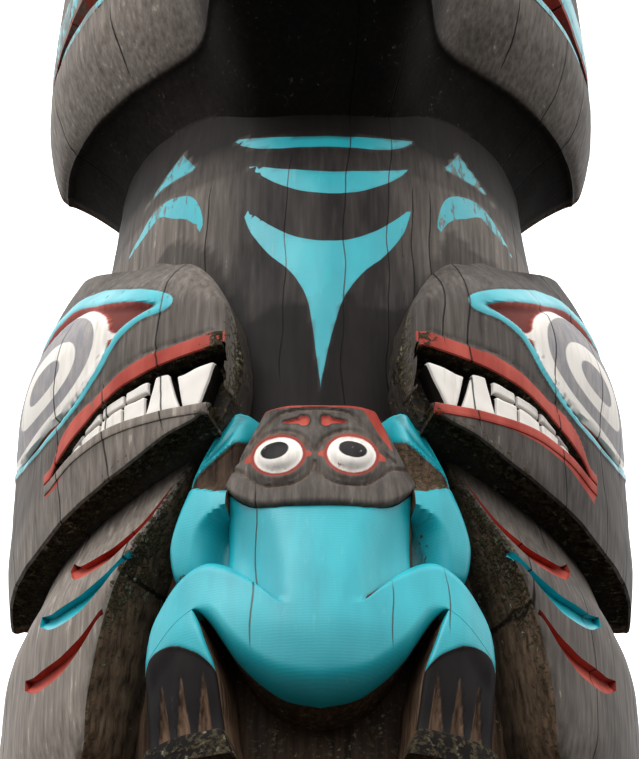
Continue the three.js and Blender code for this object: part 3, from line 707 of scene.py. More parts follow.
def frogLids(u, z):  # depth inside the thin lines carved round the eyes
    line = 2.4
    best = np.full(np.shape(u), -1e3)
    for side in (-1, 1):
        across, up = side * u - frog["eyeS"], z - frog["eyeLevel"]
        upper = [(-58, 8, line), (-44, 32, line), (-20, 46, line), (4, 48, line), (28, 40, line),
                 (46, 20, line), (58, 4, line), (74, -6, line)]
        lower = [(-59, -14, line), (-50, -36, line), (-26, -54, line), (2, -57, line), (24, -54, line),
                 (46, -38, line), (66, -20, line), (92, -18, line)]
        for path in (upper, lower):
            best = np.maximum(best, stroke(across, up, path, 3))
    brow = [(-108, 976, line), (-94, 990, line), (-68, 1021, line), (-48, 1032, line), (0, 1036, line),
            (48, 1032, line), (68, 1021, line), (94, 990, line), (108, 976, line)]
    return np.maximum(best, stroke(u, z, brow, 3))


def nostril(u, z):  # depth inside a small oval with a tail
    a = np.abs(u)
    return np.maximum(ovoid(a, z, 18, 1014, 9, 10), stroke(a, z, [(24, 1014, 6), (50, 1012, 2)], 2))


def frogEye(u, z):  # depth inside either eye's oval
    return ovoid(np.abs(u), z, frog["eyeS"], frog["eyeLevel"], *frog["eyeHalf"], 0, 2)


def eyeBulge(u, z):  # the eyeball, then the rolled lid round it
    depth = frogEye(u, z)
    share = np.clip(1 - depth / frog["eyeHalf"][1], 0, 1)
    return (frog["eyeRise"] * np.clip(1 - share ** 2.6, 0, 1) ** 0.8 + 5 * ease(depth, -17, -6) * (depth <= 0)
            + 5 * (depth > 0) * (1 - ease(depth, 0, 4)))


def seenOnFace(s, z):  # where the photograph shows this point of the face, on the plain log
    plain = faceProfile(z) - 12 * (np.abs(s) / 150) ** 2
    s1, z1 = seenOnLog(s, z, plain, frog["measuredRadius"])
    s1, z1 = seenOnLog(s, z, plain + 0.8 * eyeBulge(s1 - frog["middle"], z1), frog["measuredRadius"])
    return s1 - frog["middle"], z1


def faceSurface(s, z):  # the face's profile, with the eyes raised and the lines and nostrils cut in
    a = np.abs(s)
    u, z1 = seenOnFace(s, z)
    return (faceProfile(z) - 12 * (a / 150) ** 2 - rounding(z - faceLow(a), 10)
            - rounding(faceHigh(a) + 1 - z, 8) + eyeBulge(u, z1) - 4 * ease(frogLids(u, z1), -2.5, 1.5)
            - 5 * ease(nostril(u, z1), -2, 3) + 0.4 * handCarving(s, z))


def makeFace():  # one block between the chin line and the face's upper outline
    out = np.concatenate([np.linspace(0, 140, 52), np.linspace(142, 157, 11)])
    columns = np.concatenate([-out[:0:-1], out])
    a = np.abs(columns)
    shares = np.concatenate([[0, 0.01, 0.02, 0.035], np.linspace(0.05, 0.975, 76), [0.99, 1]])
    z = mix(faceLow(a)[:, None], faceHigh(a)[:, None], shares[None, :])
    return relief(np.repeat(columns[:, None], len(shares), 1), z, faceSurface, "face", wallRows=6, lumps=0.5)


# All forms joined into the one carved log

forms = [makeUpperHead(), makeFrogBody(), makeFace()]
for side in (-1, 1):
    forms += [makeShin(side), makeArm(side), makeFin(side), makeEar(side), *makeProfileHead(side)]
pole = combine(makeTrunk(), forms, "UNION")
pole.name = "carvedPole"


def keepInside(mesh, box):  # the hand carving may not reach past the library part's own box
    place = np.zeros(len(mesh.vertices) * 3, np.float32)
    mesh.vertices.foreach_get("co", place)
    mesh.vertices.foreach_set("co", np.clip(place.reshape(-1, 3), *np.array(box)).astype(np.float32).ravel())
    mesh.update()


keepInside(pole.data, cadBox)
print("carved", len(pole.data.polygons), "faces")


# Paint: every corner of the mesh gets its depth in millimetres inside each colour's area

# One of these layers is an amount of darkening: real grime, and painted shade on walls, in hollows and
# grooves and under overhangs
paints = ("red", "turquoise", "white", "grey", "black", "bare", "moss", "wear", "stain", "crack", "crackHalf")

cracks = [  # template s, lowest z, highest z and half width of the long drying cracks, in mm
    (-660, 0, 2800, 1.4), (-560, 2150, 2780, 1.1), (-470, 880, 1400, 1.1), (-420, 1930, 2110, 1.4),
    (-357, 940, 1180, 1.2), (-330, 470, 900, 1.1), (-250, 1000, 1660, 1.0), (-180, 0, 320, 1.6),
    (-108, 560, 905, 0.8), (-70, 1150, 1700, 0.6), (-20, 1900, 2110, 1.0), (54, 1090, 1900, 0.9),
    (96, 560, 720, 0.6), (148, 1090, 1880, 0.8), (181, 600, 760, 0.7), (204, 1150, 1640, 0.9),
    (246, 1000, 1640, 1.1), (300, 0, 320, 1.6), (340, 470, 900, 1.1), (390, 1930, 2110, 1.4),
    (416, 880, 1500, 1.0), (470, 470, 900, 0.9), (540, 880, 2760, 1.1), (640, 0, 2800, 1.4),
]


def crackLines(s, z):
    # How far each point is from its nearest crack, with a sign that turns at every crack, so that the value
    # runs smoothly over the mesh and is zero only on cracks, and that crack's half width at this height
    at, low, high, half = np.array(cracks).T
    moved = s + 9 * np.sin(z / 163) + 4 * np.sin(z / 61 + 1.3) + 2 * np.sin(z / 23)
    after = np.searchsorted(at, moved)
    left, right = np.clip(after - 1, 0, len(at) - 1), np.clip(after, 0, len(at) - 1)
    nearest = np.where(np.abs(moved - at[left]) < np.abs(moved - at[right]), left, right)
    sign = np.where(after % 2, 1.0, -1.0)
    shown = (half[nearest] * ease(z, low[nearest] - 1, low[nearest] + 60)
             * (1 - ease(z, high[nearest] - 90, high[nearest])))
    return sign * np.abs(moved - at[nearest]), shown


def triangleArea(s, z, corners):  # depth inside a triangle given anticlockwise
    depth = np.full(np.shape(s), 1e3)
    for (s0, z0), (s1, z1) in zip(corners, corners[1:] + corners[:1]):
        length = math.hypot(s1 - s0, z1 - z0)
        depth = np.minimum(depth, ((s1 - s0) * (z - z0) - (z1 - z0) * (s - s0)) / length)
    return depth


def paintTrunk(s, z, r, wall):
    # Ornament on the chest, given as heights over the distance x across it; a bare base
    chest = s * log["chestRadius"] / log["templateRadius"]
    a, x = np.abs(chest), log["chestRadius"] * np.sin(chest / log["chestRadius"])
    c1, c2, y = np.abs((x - 4) / 162), np.abs((x - 14) / 136), np.abs((x - 10) / 138)
    crescent1 = np.minimum(z - (1686 + 10 * c1 ** 2 + 43 * c1 ** 5), 1713 + 25 * c1 ** 2 - z)
    crescent2 = np.minimum(z - (1570 + 84 * c2 ** 2.2), 1622 + 36 * c2 ** 2 - z)
    stemHalf = through([(1150, 0), (1213, 8), (1275, 17), (1331, 28), (1368, 43), (1402, 63), (1436, 91),
                        (1485, 119), (1515, 130), (1560, 140)])
    stem = np.min([(stemHalf(z) - np.abs(x - mix(1, 10, ease(z, 1170, 1420)))) * 0.8,
                   1461 + 98 * y ** 2.1 - z, z - 1140], axis=0)
    tail = np.maximum(triangleArea(a, z, [(227, 1697), (312, 1700), (270, 1763)]),
                      stroke(a, z, [(292, 1722, 13), (309, 1711, 9), (335, 1697, 4), (362, 1680, 1)]))
    arc = stroke(a, z, [(202, 1516, 1), (214, 1560, 8), (232, 1594, 17), (256, 1617, 23), (303, 1641, 15),
                        (343, 1624, 12), (402, 1596, 1)])
    turquoise = np.max([crescent1, crescent2, stem, tail, arc], axis=0)
    turquoise = np.where(z > 1100, 1.6 * turquoise + 0.8, nowhere)
    # The chest is darker below a wavy line that rises toward the sides, and painted shade deepens upward into
    # the shadow under the jaw; less on the ornament and low on the sides
    darkerBelow = 1330 + 26 * np.sin(x / 36 + 1) + 15 * np.sin(x / 15) + 190 * ease(np.abs(x), 110, 230)
    darkeningAndJawShade = (0.28 + 0.62 * (1 - ease(z, darkerBelow - 5, darkerBelow + 5)) + 0.3 * ease(z, 1590, 1670)
            + 0.6 * ease(z, 1660, 1760) - 0.3 * ease(np.abs(s), 100, 330) * (z < 1640))
    low = z < log["baseHeight"] + 2
    return {"turquoise": turquoise, "bare": np.where(low | (z < 1090), everywhere, nowhere),
            "moss": np.where(low, 0.15 + 0.5 * ease(z, 280, 320), 0.38 * (1 - ease(z, 1040, 1120))),
            "stain": np.where(low, 0.2,
                              np.maximum(darkeningAndJawShade, 0) * (1 - 0.85 * ease(turquoise, -2, 0) * (z < 1800))),
            "wear": np.where(low, 0.8, 0.15 + 1.2 * ease(np.abs(s), 90, 330) * ease(z, 1330, 1500))}


def paintUpperHead(s, z, r, wall):  # lips, teeth, stripe, brow loop, eye and nose, as strips and ovals
    a, angle = np.abs(s), np.abs(s) / log["templateRadius"]
    top = mouthTop(angle)
    plan = headPlan(angle, upperHead["cheek"] * np.ones_like(angle), upperHead["snoutHalfWidth"] + 4,
                    upperHead["snoutReach"])
    hollow = np.where((z > lipTop) & (z < top + 1), plan - 18 - r, nowhere)
    lip = np.minimum(z - (jawTop + 17), lipTop + 1 - z)
    eye, grey = upperEye(a, z, 0, 0, *upperHead["eyeHalf"], 2.6), upperEye(a, z, 16, 6, 134, 64, 2.6)
    ring, inside = upperEye(a, z, 10, 4, 84, 44, 2.4), upperEye(a, z, 10, 4, 50, 24, 2.4)
    level = upperEyeLevel
    loop = stroke(a, z, [(760, level + 104, 12), (640, level + 122, 14), (500, level + 122, 15),
                         (380, level + 96, 15), (290, level + 40, 14), (262, level + 2, 13),
                         (310, level - 6, 13), (350, level - 40, 12), (410, level - 84, 11),
                         (500, level - 102, 10), (620, level - 96, 10), (760, level - 70, 9)])
    redField = np.minimum(ovoid(a, z, 520, level + 14, 262, 112, math.radians(-2), 3), a - 280)
    start = top + mix(40, 14, ease(a, 430, 530))
    stripe = np.min([z - start, start + 22 + 66 * ease(a, 430, 590) - z, a - 150], axis=0)
    lipBand = np.minimum(z - top - 1, start - 4 - z)
    nose = ovoid(a, z, 118, 2352, 58, 30, math.radians(14), 2.2)
    teeth = upperTeeth(a, z, top)
    return {"red": np.max([hollow, redField, lipBand, nose], axis=0),
            "turquoise": np.max([lip, loop, stripe,
                                 stroke(a, z, [(44, 2330, 6), (60, 2392, 9), (120, 2404, 10), (184, 2388, 6),
                                               (206, 2340, 2)])], axis=0),
            "white": np.maximum(eye, np.where(hollow > -10, teeth, nowhere)),
            "grey": np.where(eye > 0, np.minimum(grey, np.maximum(-ring, inside)), nowhere),
            "black": np.minimum(z - jawTop, jawTop + 16 - z),
            # Painted shade: the jaw's underside, and its front end below the lip groove, are darkened nearly
            # to black
            "stain": np.where(z < jawTop - 4,
                              1.15 * np.maximum(1 - ease(z - 20 * ease(angle, 0.9, 1.6), 1912, 1935),
                                                1 - ease(a, 190, 260)), 0.1),
            "wear": 1.1 + 0.8 * ease(-s, 150, 420) - 0.8 * ease(z, 2200, 2400),
            "moss": 0.2 * (1 - ease(z, 1900, 2000))}


def upperTeeth(a, z, top):  # depth inside the big mouth's painted teeth
    pitch = 64
    along = np.abs((a % pitch) - pitch / 2)
    upper = np.minimum(pitch / 2 - 4 - along, np.minimum(z - (mix(lipTop, top, 0.52) + 6), top - 3 - z))
    lower = np.minimum(pitch / 2 - 4 - along, np.minimum(z - lipTop - 1, mix(lipTop, top, 0.52) - 2 - z))
    return np.where(a < 520, np.maximum(upper, lower), nowhere)


def paintEar(s, z, r, wall):  # red inside the hollow
    inside = upperHead["cheek"] - 60 - r
    return {"red": np.where((wall == carvedFace) & (inside > 0) & (z > crown - 130), inside, nowhere),
            "wear": 0.3}


def paintProfileHead(s, z, r, wall):
    # Eye, brow loop and lips where the photograph shows them, moss at the front
    a, left = np.abs(s), s < 0
    s1, z1 = seenOnHead(a, z)
    eye = np.maximum(ovoid(s1, z1, *profileHead["eye"], 2.5),
                     stroke(s1, z1, [(356, 1269, 1), (385, 1273, 14), (420, 1280, 30)]))
    ring = ovoid(s1, z1, *profileHead["ring"], math.radians(4), 2.2)
    inside = ovoid(s1, z1, *profileHead["ringInside"], 0, 2.2)
    lipTopEdge = through([(138, 1172), (147, 1180), (227, 1175), (282, 1178), (343, 1167), (388, 1147),
                          (434, 1140), (478, 1113), (494, 1079), (520, 1035)])
    lipLowEdge = through([(186, 1026), (250, 1034), (345, 1041), (430, 1034), (505, 1004)])
    upperLip = band(s1, z1, lambda x: np.maximum(mouthHigh(x) - 30 * ease(x, 150, 157), 1020), lipTopEdge,
                    146, 514)
    lowerLip = band(s1, z1, lipLowEdge, mouthLow, 186, 508)
    grey = np.minimum(ovoid(s1, z1, *profileHead["grey"], math.radians(4), 2.3), np.maximum(-ring, inside))
    front = 1 - ease(a, 139, 156)
    chin = (1 - ease(z - headLow(a), 6, 50)) * ease(a, 150, 260) * (1 - ease(a, 330, 520))
    snout = (1 - ease(a, 150, 250)) * (1 - ease(z, 1010, 1050))
    # Nearness to the eye's and the brow loop's outlines, for a line of painted shade along them
    outlines = 1 - np.minimum(np.abs(eye + 3), np.abs(stroke(s1, z1, browLoop) + 2.5))
    return {"red": np.max([browField(s1, z1), upperLip, np.where(left, lowerLip - 14, lowerLip)], axis=0),
            "turquoise": stroke(s1, z1, browLoop), "white": eye, "grey": np.minimum(grey, eye),
            "moss": np.where(wall == wallFace, mix(0.35, 0.85, ease(r, 440, 505)),
                             0.85 * np.max([front, np.where(left, 0.35, 0.5) * chin, 0.8 * snout], axis=0)),
            # Painted shade on the walls, in the brow loop's hollow and along the eye's and the loop's
            # outlines
            "stain": np.where(wall == wallFace, 0.8,
                              np.maximum(0.75 * ease(browField(s1, z1), 0, 8) * (eye < -1),
                                         0.5 * ease(outlines, -1, 1))),
            "wear": (np.where(left, 0.8, 0.4) + 0.25 * (1 - ease(a, 200, 420))
                     + np.where(left, 0.7, 0.15) * (1 - ease(z1, 1010, 1060)) - 0.4 * ease(eye, -20, 0))}


def paintLip(s, z, r, wall):  # red, but the left lower lip is worn to bare wood; the walls are painted black as painted shade, with moss
    a = np.abs(s)
    upper = z > mix(mouthLow(a), mouthHigh(a), 0.5)
    tan = (s < 0) & ~upper
    return {"red": np.where(wall == wallFace, -20, np.where(tan, -5, everywhere)),
            "wear": np.where(tan, 2.0, np.where(s < 0, 0.8, 0.6)),
            "black": np.where(wall == wallFace, 20, nowhere),
            "moss": np.where(wall == wallFace, 0.62, 0.62 * (1 - ease(a, 152, 215)))}


def paintMouth(s, z, r, wall):  # black, with moss under the upper lip
    return {"black": everywhere,
            "moss": np.where(z > mix(mouthLow(np.abs(s)), mouthHigh(np.abs(s)), 0.6), 0.8, 0.45)}


def paintTooth(s, z, r, wall):  # white, with painted shade on the walls in the gaps between teeth
    return {"white": np.where(wall == carvedFace, everywhere, -6), "wear": 0.1,
            "stain": np.where(wall == carvedFace, 0, 0.9)}


def paintFin(s, z, r, wall):  # worn charcoal with mossy edges and bare walls; painted shade deep on the walls and painted shadow on the top under the head
    a = np.abs(s)
    edge = 1 - ease(a - finNear(z), 2, 22)
    upper = ease(z, 640, 860)
    return {"moss": np.where(wall == wallFace, mix(0.42, 0.8, upper) * mix(0.6, 1, ease(r, 430, 500)),
                             0.6 * edge * upper),
            # Painted shade deeper down the walls, and painted shadow across the fin's top under the head's
            # chin
            "stain": np.where(wall == wallFace, 0.15 + 0.7 * (1 - ease(r, 400, 450)),
                              0.6 * ease(z, 900, 1000)), "wear": np.where(s < 0, 1.9, 0.8),
            "bare": np.where(wall == wallFace, 20, nowhere)}


def paintSlash(s, z, r, wall):  # each slash's own colour near its middle line
    a = np.abs(s)
    found = {"red": np.full(s.shape, nowhere), "turquoise": np.full(s.shape, nowhere), "moss": 0.15,
             "wear": 0.45}
    for slash in fin["slashes"]:
        mid, half = slashEdges(a, slash)
        inside = half + 3 - np.abs(z - mid)
        found[slash[4]] = np.maximum(found[slash[4]], np.where(inside > -3, 6, nowhere))
    return found


def paintBelly(s, z, r, wall):  # turquoise, with moss, bare wood and painted shade in the folds, and painted shade on the bare walls and low on the belly
    a = np.abs(s)
    above = z - thighLine(a)
    # The fold along the thigh line and the throat's edge hold moss and bare wood, and painted shade
    crease = (1 - ease(above, 4, 20)) * ease(above, -4, 1) * ease(a, 54, 72) * (a < 161)
    rim = (1 - ease(frog["throatHalf"] - a, 3, np.where(s > 0, 22, 10))) * (above > 0) * (a < 161)
    grimeAndShade = np.maximum(crease, rim) * np.where(s > 0, 1, 0.6)
    knee = (wall == wallFace) & (a > 184) & (r > 480)
    # Painted shade: the belly darker toward its bottom
    under = (1 - ease(z, 490, 690)) * (1 - ease(a, 120, 190))
    return {"turquoise": np.where(wall == carvedFace, 30 - 44 * grimeAndShade,
                                  np.where(knee, 30, np.where(r > 491, 6, -20))),
            "bare": np.where((wall == wallFace) & ~knee, 20, 22 * grimeAndShade - 14),
            "moss": np.where((wall == wallFace) & ~knee, 0.5, 0.38 * grimeAndShade), "wear": 0.1,
            "stain": np.where((wall == wallFace) & ~knee, 0.5, 0.35 * grimeAndShade + 0.38 * under)}


def paintShin(s, z, r, wall):  # turquoise above the foot's arch, black below it, bare between the toes
    a = np.abs(s)
    arch = footArch(a)
    turquoise = np.where(wall == carvedFace, z - arch, np.where((a > 240) & (z > 470), 20, -20))
    gaps = np.where(wall == carvedFace, toeGap(a, z), nowhere)
    ledge = frog["toeLevel"] - 2 - z
    rim = 2.2 - np.abs(z - arch + 1)
    return {"turquoise": turquoise,
            "black": np.where(wall == carvedFace, np.minimum(arch - z, -gaps) - 1, nowhere),
            "bare": np.maximum(np.maximum(gaps, ledge), np.where(wall == wallFace, 20, rim)), "wear": 0.2,
            "stain": np.where(wall == wallFace, 0.05,
                              0.35 * ease(ledge, -4, 8) + 0.75 * ease(arch - z, 0, 3) * (gaps < 0)),
            "moss": np.clip(np.where(wall == wallFace, 0.08, 0) + 0.5 * ease(ledge, -4, 8), 0, 0.9)}


def paintArm(s, z, r, wall):  # turquoise, but a bare leaf beside the face, moss and painted shade in the pocket, and painted shade on the leaf and in the grooves
    a = np.abs(s)
    leaf = armLeaf(a, z)
    outer = (wall == wallFace) & (a > (armNear(z) + armFar(z)) / 2)
    painted = (wall == carvedFace) | outer
    pocket = ease(pocketFar(z) - a, 0, 30) * (z < 862)
    right = s > 0
    foot = 1 - ease(z, 738, 775)
    return {"turquoise": np.where(painted, np.minimum(30, -leaf), -20) - 30 * pocket * right - 20 * foot,
            "bare": np.where(wall == carvedFace, np.maximum(leaf, 30 * foot - 12),
                             np.where(outer, nowhere, 20)),
            "moss": np.where(wall == wallFace, np.where(outer, 0.2, 0.55),
                             np.where(right, 0.55, 0.2) * ease(leaf, -2, 8)
                             + np.where(right, 0.35, 0.05) * pocket + 0.45 * foot),
            # Painted shade in the pocket, on the leaf and in the grooves; darker at the arm's foot
            "stain": (0.25 * pocket + 0.4 * foot
                      + np.where(right, 0.42, 0.75) * ease(leaf, -2, 3) * (wall == carvedFace)
                      + 0.45 * ease(armGrooves(a, z), -2, 1)),
            "wear": 0.35}


def paintFace(s, z, r, wall):  # charcoal with a red border and corners, white eyes and black irises; painted shade round the eyes, at the nostrils and on the walls
    u, z1 = seenOnFace(s, z)
    eye = frogEye(u, z1)
    corners = np.maximum(stroke(np.abs(u), z1, [(6, 946, 1), (20, 947, 7), (98, 946, 8), (114, 940, 1)]),
                         eye + 4.5)
    border = stroke(u, z1, [(-124, 966, 1), (-112, 990, 6), (-92, 1032, 9), (-76, 1046, 9), (0, 1048, 8),
                            (76, 1046, 9), (92, 1032, 9), (112, 990, 6), (126, 962, 1)])
    iris = np.maximum(ovoid(u, z1, -65, 957, 23, 20, math.radians(14), 2.1),
                      ovoid(u, z1, 61, 957, 23, 19, math.radians(-14), 2.1))
    socket = ease(-eye, -1, 1) * (1 - ease(-eye, 2.5, 6))
    return {"red": np.max([border, corners, nostril(u, z1)], axis=0), "white": eye - 0.5, "black": iris,
            "bare": frogLids(u, z1) - 1.4 - 4 * (np.abs(z1 - 947) < 6), "wear": 0.7 + 0.3 * ease(-u, 40, 120),
            # Painted shade on the walls, in a ring round each eye and at the nostrils' edges
            "stain": np.where(wall == wallFace, 0.8,
                              0.5 * socket + 0.7 * ease(nostril(u, z1), -5, -1) * (nostril(u, z1) < 0)),
            "moss": np.where(wall == wallFace, 0.2, 0)}


painters = {
    "trunk": paintTrunk, "upperHead": paintUpperHead, "ear": paintEar, "profileHead": paintProfileHead,
    "mouth": paintMouth, "upperLip": paintLip, "lowerLip": paintLip, "tooth": paintTooth, "fin": paintFin,
    "slash": paintSlash, "belly": paintBelly, "shin": paintShin, "arm": paintArm, "face": paintFace,
}


def paintCorners(mesh):  # asks each form's painter for its corners and writes the answers as attributes
    tags = np.zeros(len(mesh.loops) * 2, np.float32)
    mesh.uv_layers["tags"].data.foreach_get("uv", tags)
    kind, wall = np.round(tags.reshape(-1, 2)).astype(int).T
    corner = np.zeros(len(mesh.loops), np.int32)
    mesh.loops.foreach_get("vertex_index", corner)
    place = np.zeros(len(mesh.vertices) * 3, np.float32)
    mesh.vertices.foreach_get("co", place)
    x, y, z = (place.reshape(-1, 3)[corner].astype(float) * 1000).T
    s, r = np.arctan2(x, -y) * log["templateRadius"], np.hypot(x, y)
    values = {name: np.full(len(corner), 0.0 if name in ("moss", "wear", "stain") else nowhere)
              for name in paints}
    for name, painter in painters.items():
        here = kind == kinds[name]
        if here.any():
            for paint, value in painter(s[here], z[here], r[here], wall[here]).items():
                values[paint][here] = value
    sawn = (kind == kinds["profileHead"]) & (wall == wallFace) & (np.abs(s) > 780)
    hewn = (y > 0.6 * log["backDepth"]) | sawn  # never painted
    for name in ("red", "turquoise", "white", "grey", "black"):
        values[name][hewn] = nowhere
    values["bare"][hewn], values["wear"][hewn] = everywhere, 0.8
    values["stain"][hewn] = 0.25 * (1 - ease(z[hewn], 0, 500))
    values["moss"][hewn] = 0.35 * (1 - ease(z[hewn], 0, 700)) + 0.1
    values["crack"], values["crackHalf"] = crackLines(s, z)
    for name in paints:
        layer = mesh.attributes.new(name, "FLOAT", "CORNER")
        layer.data.foreach_set("value", np.clip(values[name], nowhere, -nowhere).astype(np.float32))
    mesh.uv_layers.remove(mesh.uv_layers["tags"])


paintCorners(pole.data)
print("painted", len(pole.data.loops), "corners")


# Shader building

class Signal:  # a number that varies over the surface; arithmetic on it adds Math nodes
    def __init__(self, shader, socket):
        self.shader, self.socket = shader, socket

    def maths(self, operation, *others, clamp=False):
        values = {i: other for i, other in enumerate((self, *others))}
        return self.shader.add("ShaderNodeMath", {"operation": operation, "use_clamp": clamp}, values)

    def __add__(self, other):
        return self.maths("ADD", other)

    def __radd__(self, other):
        return self.maths("ADD", other)

    def __sub__(self, other):
        return self.maths("SUBTRACT", other)

    def __rsub__(self, other):
        return self.shader.add("ShaderNodeMath", {"operation": "SUBTRACT"}, {0: other, 1: self})

    def __mul__(self, other):
        return self.maths("MULTIPLY", other)

    def __rmul__(self, other):
        return self.maths("MULTIPLY", other)

    def __truediv__(self, other):
        return self.maths("DIVIDE", other)

    def __abs__(self):
        return self.maths("ABSOLUTE")

    def step(self, start, end):  # 0 below start, 1 above end, in a straight line between
        return (self - start).maths("DIVIDE", end - start, clamp=True)

    def least(self, other):
        return self.maths("MINIMUM", other)

    def most(self, other):
        return self.maths("MAXIMUM", other)


class Shader:  # a material with its node tree, and short ways to add to it
    def __init__(self, name):
        self.material = bpy.data.materials.new(name)
        self.material.use_nodes = True
        self.tree = self.material.node_tree
        self.surface = self.tree.nodes["Principled BSDF"]

    def join(self, value, socket):  # a signal is linked to a socket, and a constant is set on it
        if isinstance(value, Signal):
            self.tree.links.new(value.socket, socket)
        else:
            socket.default_value = value

    def add(self, kind, settings=None, inputs=None, output=0):
        # Any node: its settings first, then its sockets
        node = self.tree.nodes.new(kind)
        for name, value in (settings or {}).items():
            if name == "stops":
                while len(node.color_ramp.elements) < len(value):
                    node.color_ramp.elements.new(1)
                for element, (position, colour) in zip(node.color_ramp.elements, value):
                    element.position, element.color = position, colour
            else:
                setattr(node, name, value)
        for name, value in (inputs or {}).items():
            self.join(value, node.inputs[name])
        return Signal(self, node.outputs[output])

    def layer(self, name):  # one of the mesh's painted values
        return self.add("ShaderNodeAttribute", {"attribute_name": name}, output=2)

    def noise(self, vector, scale, detail=3.0, roughness=0.55, distortion=0.0):
        return self.add("ShaderNodeTexNoise", {}, {"Vector": vector, "Scale": scale, "Detail": detail,
                                                   "Roughness": roughness, "Distortion": distortion})

    def stretched(self, vector, size):  # the same vector with each axis scaled
        return self.add("ShaderNodeVectorMath", {"operation": "MULTIPLY"}, {0: vector, 1: size})

    def blend(self, factor, under, over):  # one colour over another
        return self.add("ShaderNodeMix", {"data_type": "RGBA"}, {0: factor, 6: under, 7: over}, 2)

    def blendNumber(self, factor, under, over):
        return self.add("ShaderNodeMix", {"data_type": "FLOAT"}, {0: factor, 2: under, 3: over})


def colour(red, green, blue):  # a display colour from 0 to 255, turned into light
    return tuple((c / 255 / 12.92 if c <= 10 else ((c / 255 + 0.055) / 1.055) ** 2.4)
                 for c in (red, green, blue)) + (1.0,)


# The painted cedar

shades = {  # the darker and the lighter display colour of each finish
    "wood": ((52, 38, 29), (128, 102, 82)), "charcoal": ((34, 30, 29), (58, 53, 52)),
    "wornCharcoal": ((110, 101, 94), (152, 142, 132)), "red": ((150, 54, 44), (202, 98, 84)),
    "turquoise": ((6, 152, 166), (26, 186, 198)), "white": ((238, 232, 224), (184, 175, 162)),
    "grey": ((142, 140, 144), (176, 168, 162)), "black": ((30, 27, 28), (60, 56, 56)),
    "moss": ((24, 18, 11), (74, 66, 48)),
}
# The darkest tone serves for grime and for painted shade
singleTones = {"scratch": (182, 170, 156), "faded": (140, 212, 210), "crack": (14, 10, 9),
               "lichen": (134, 132, 112), "grimeAndShade": (16, 11, 9)}


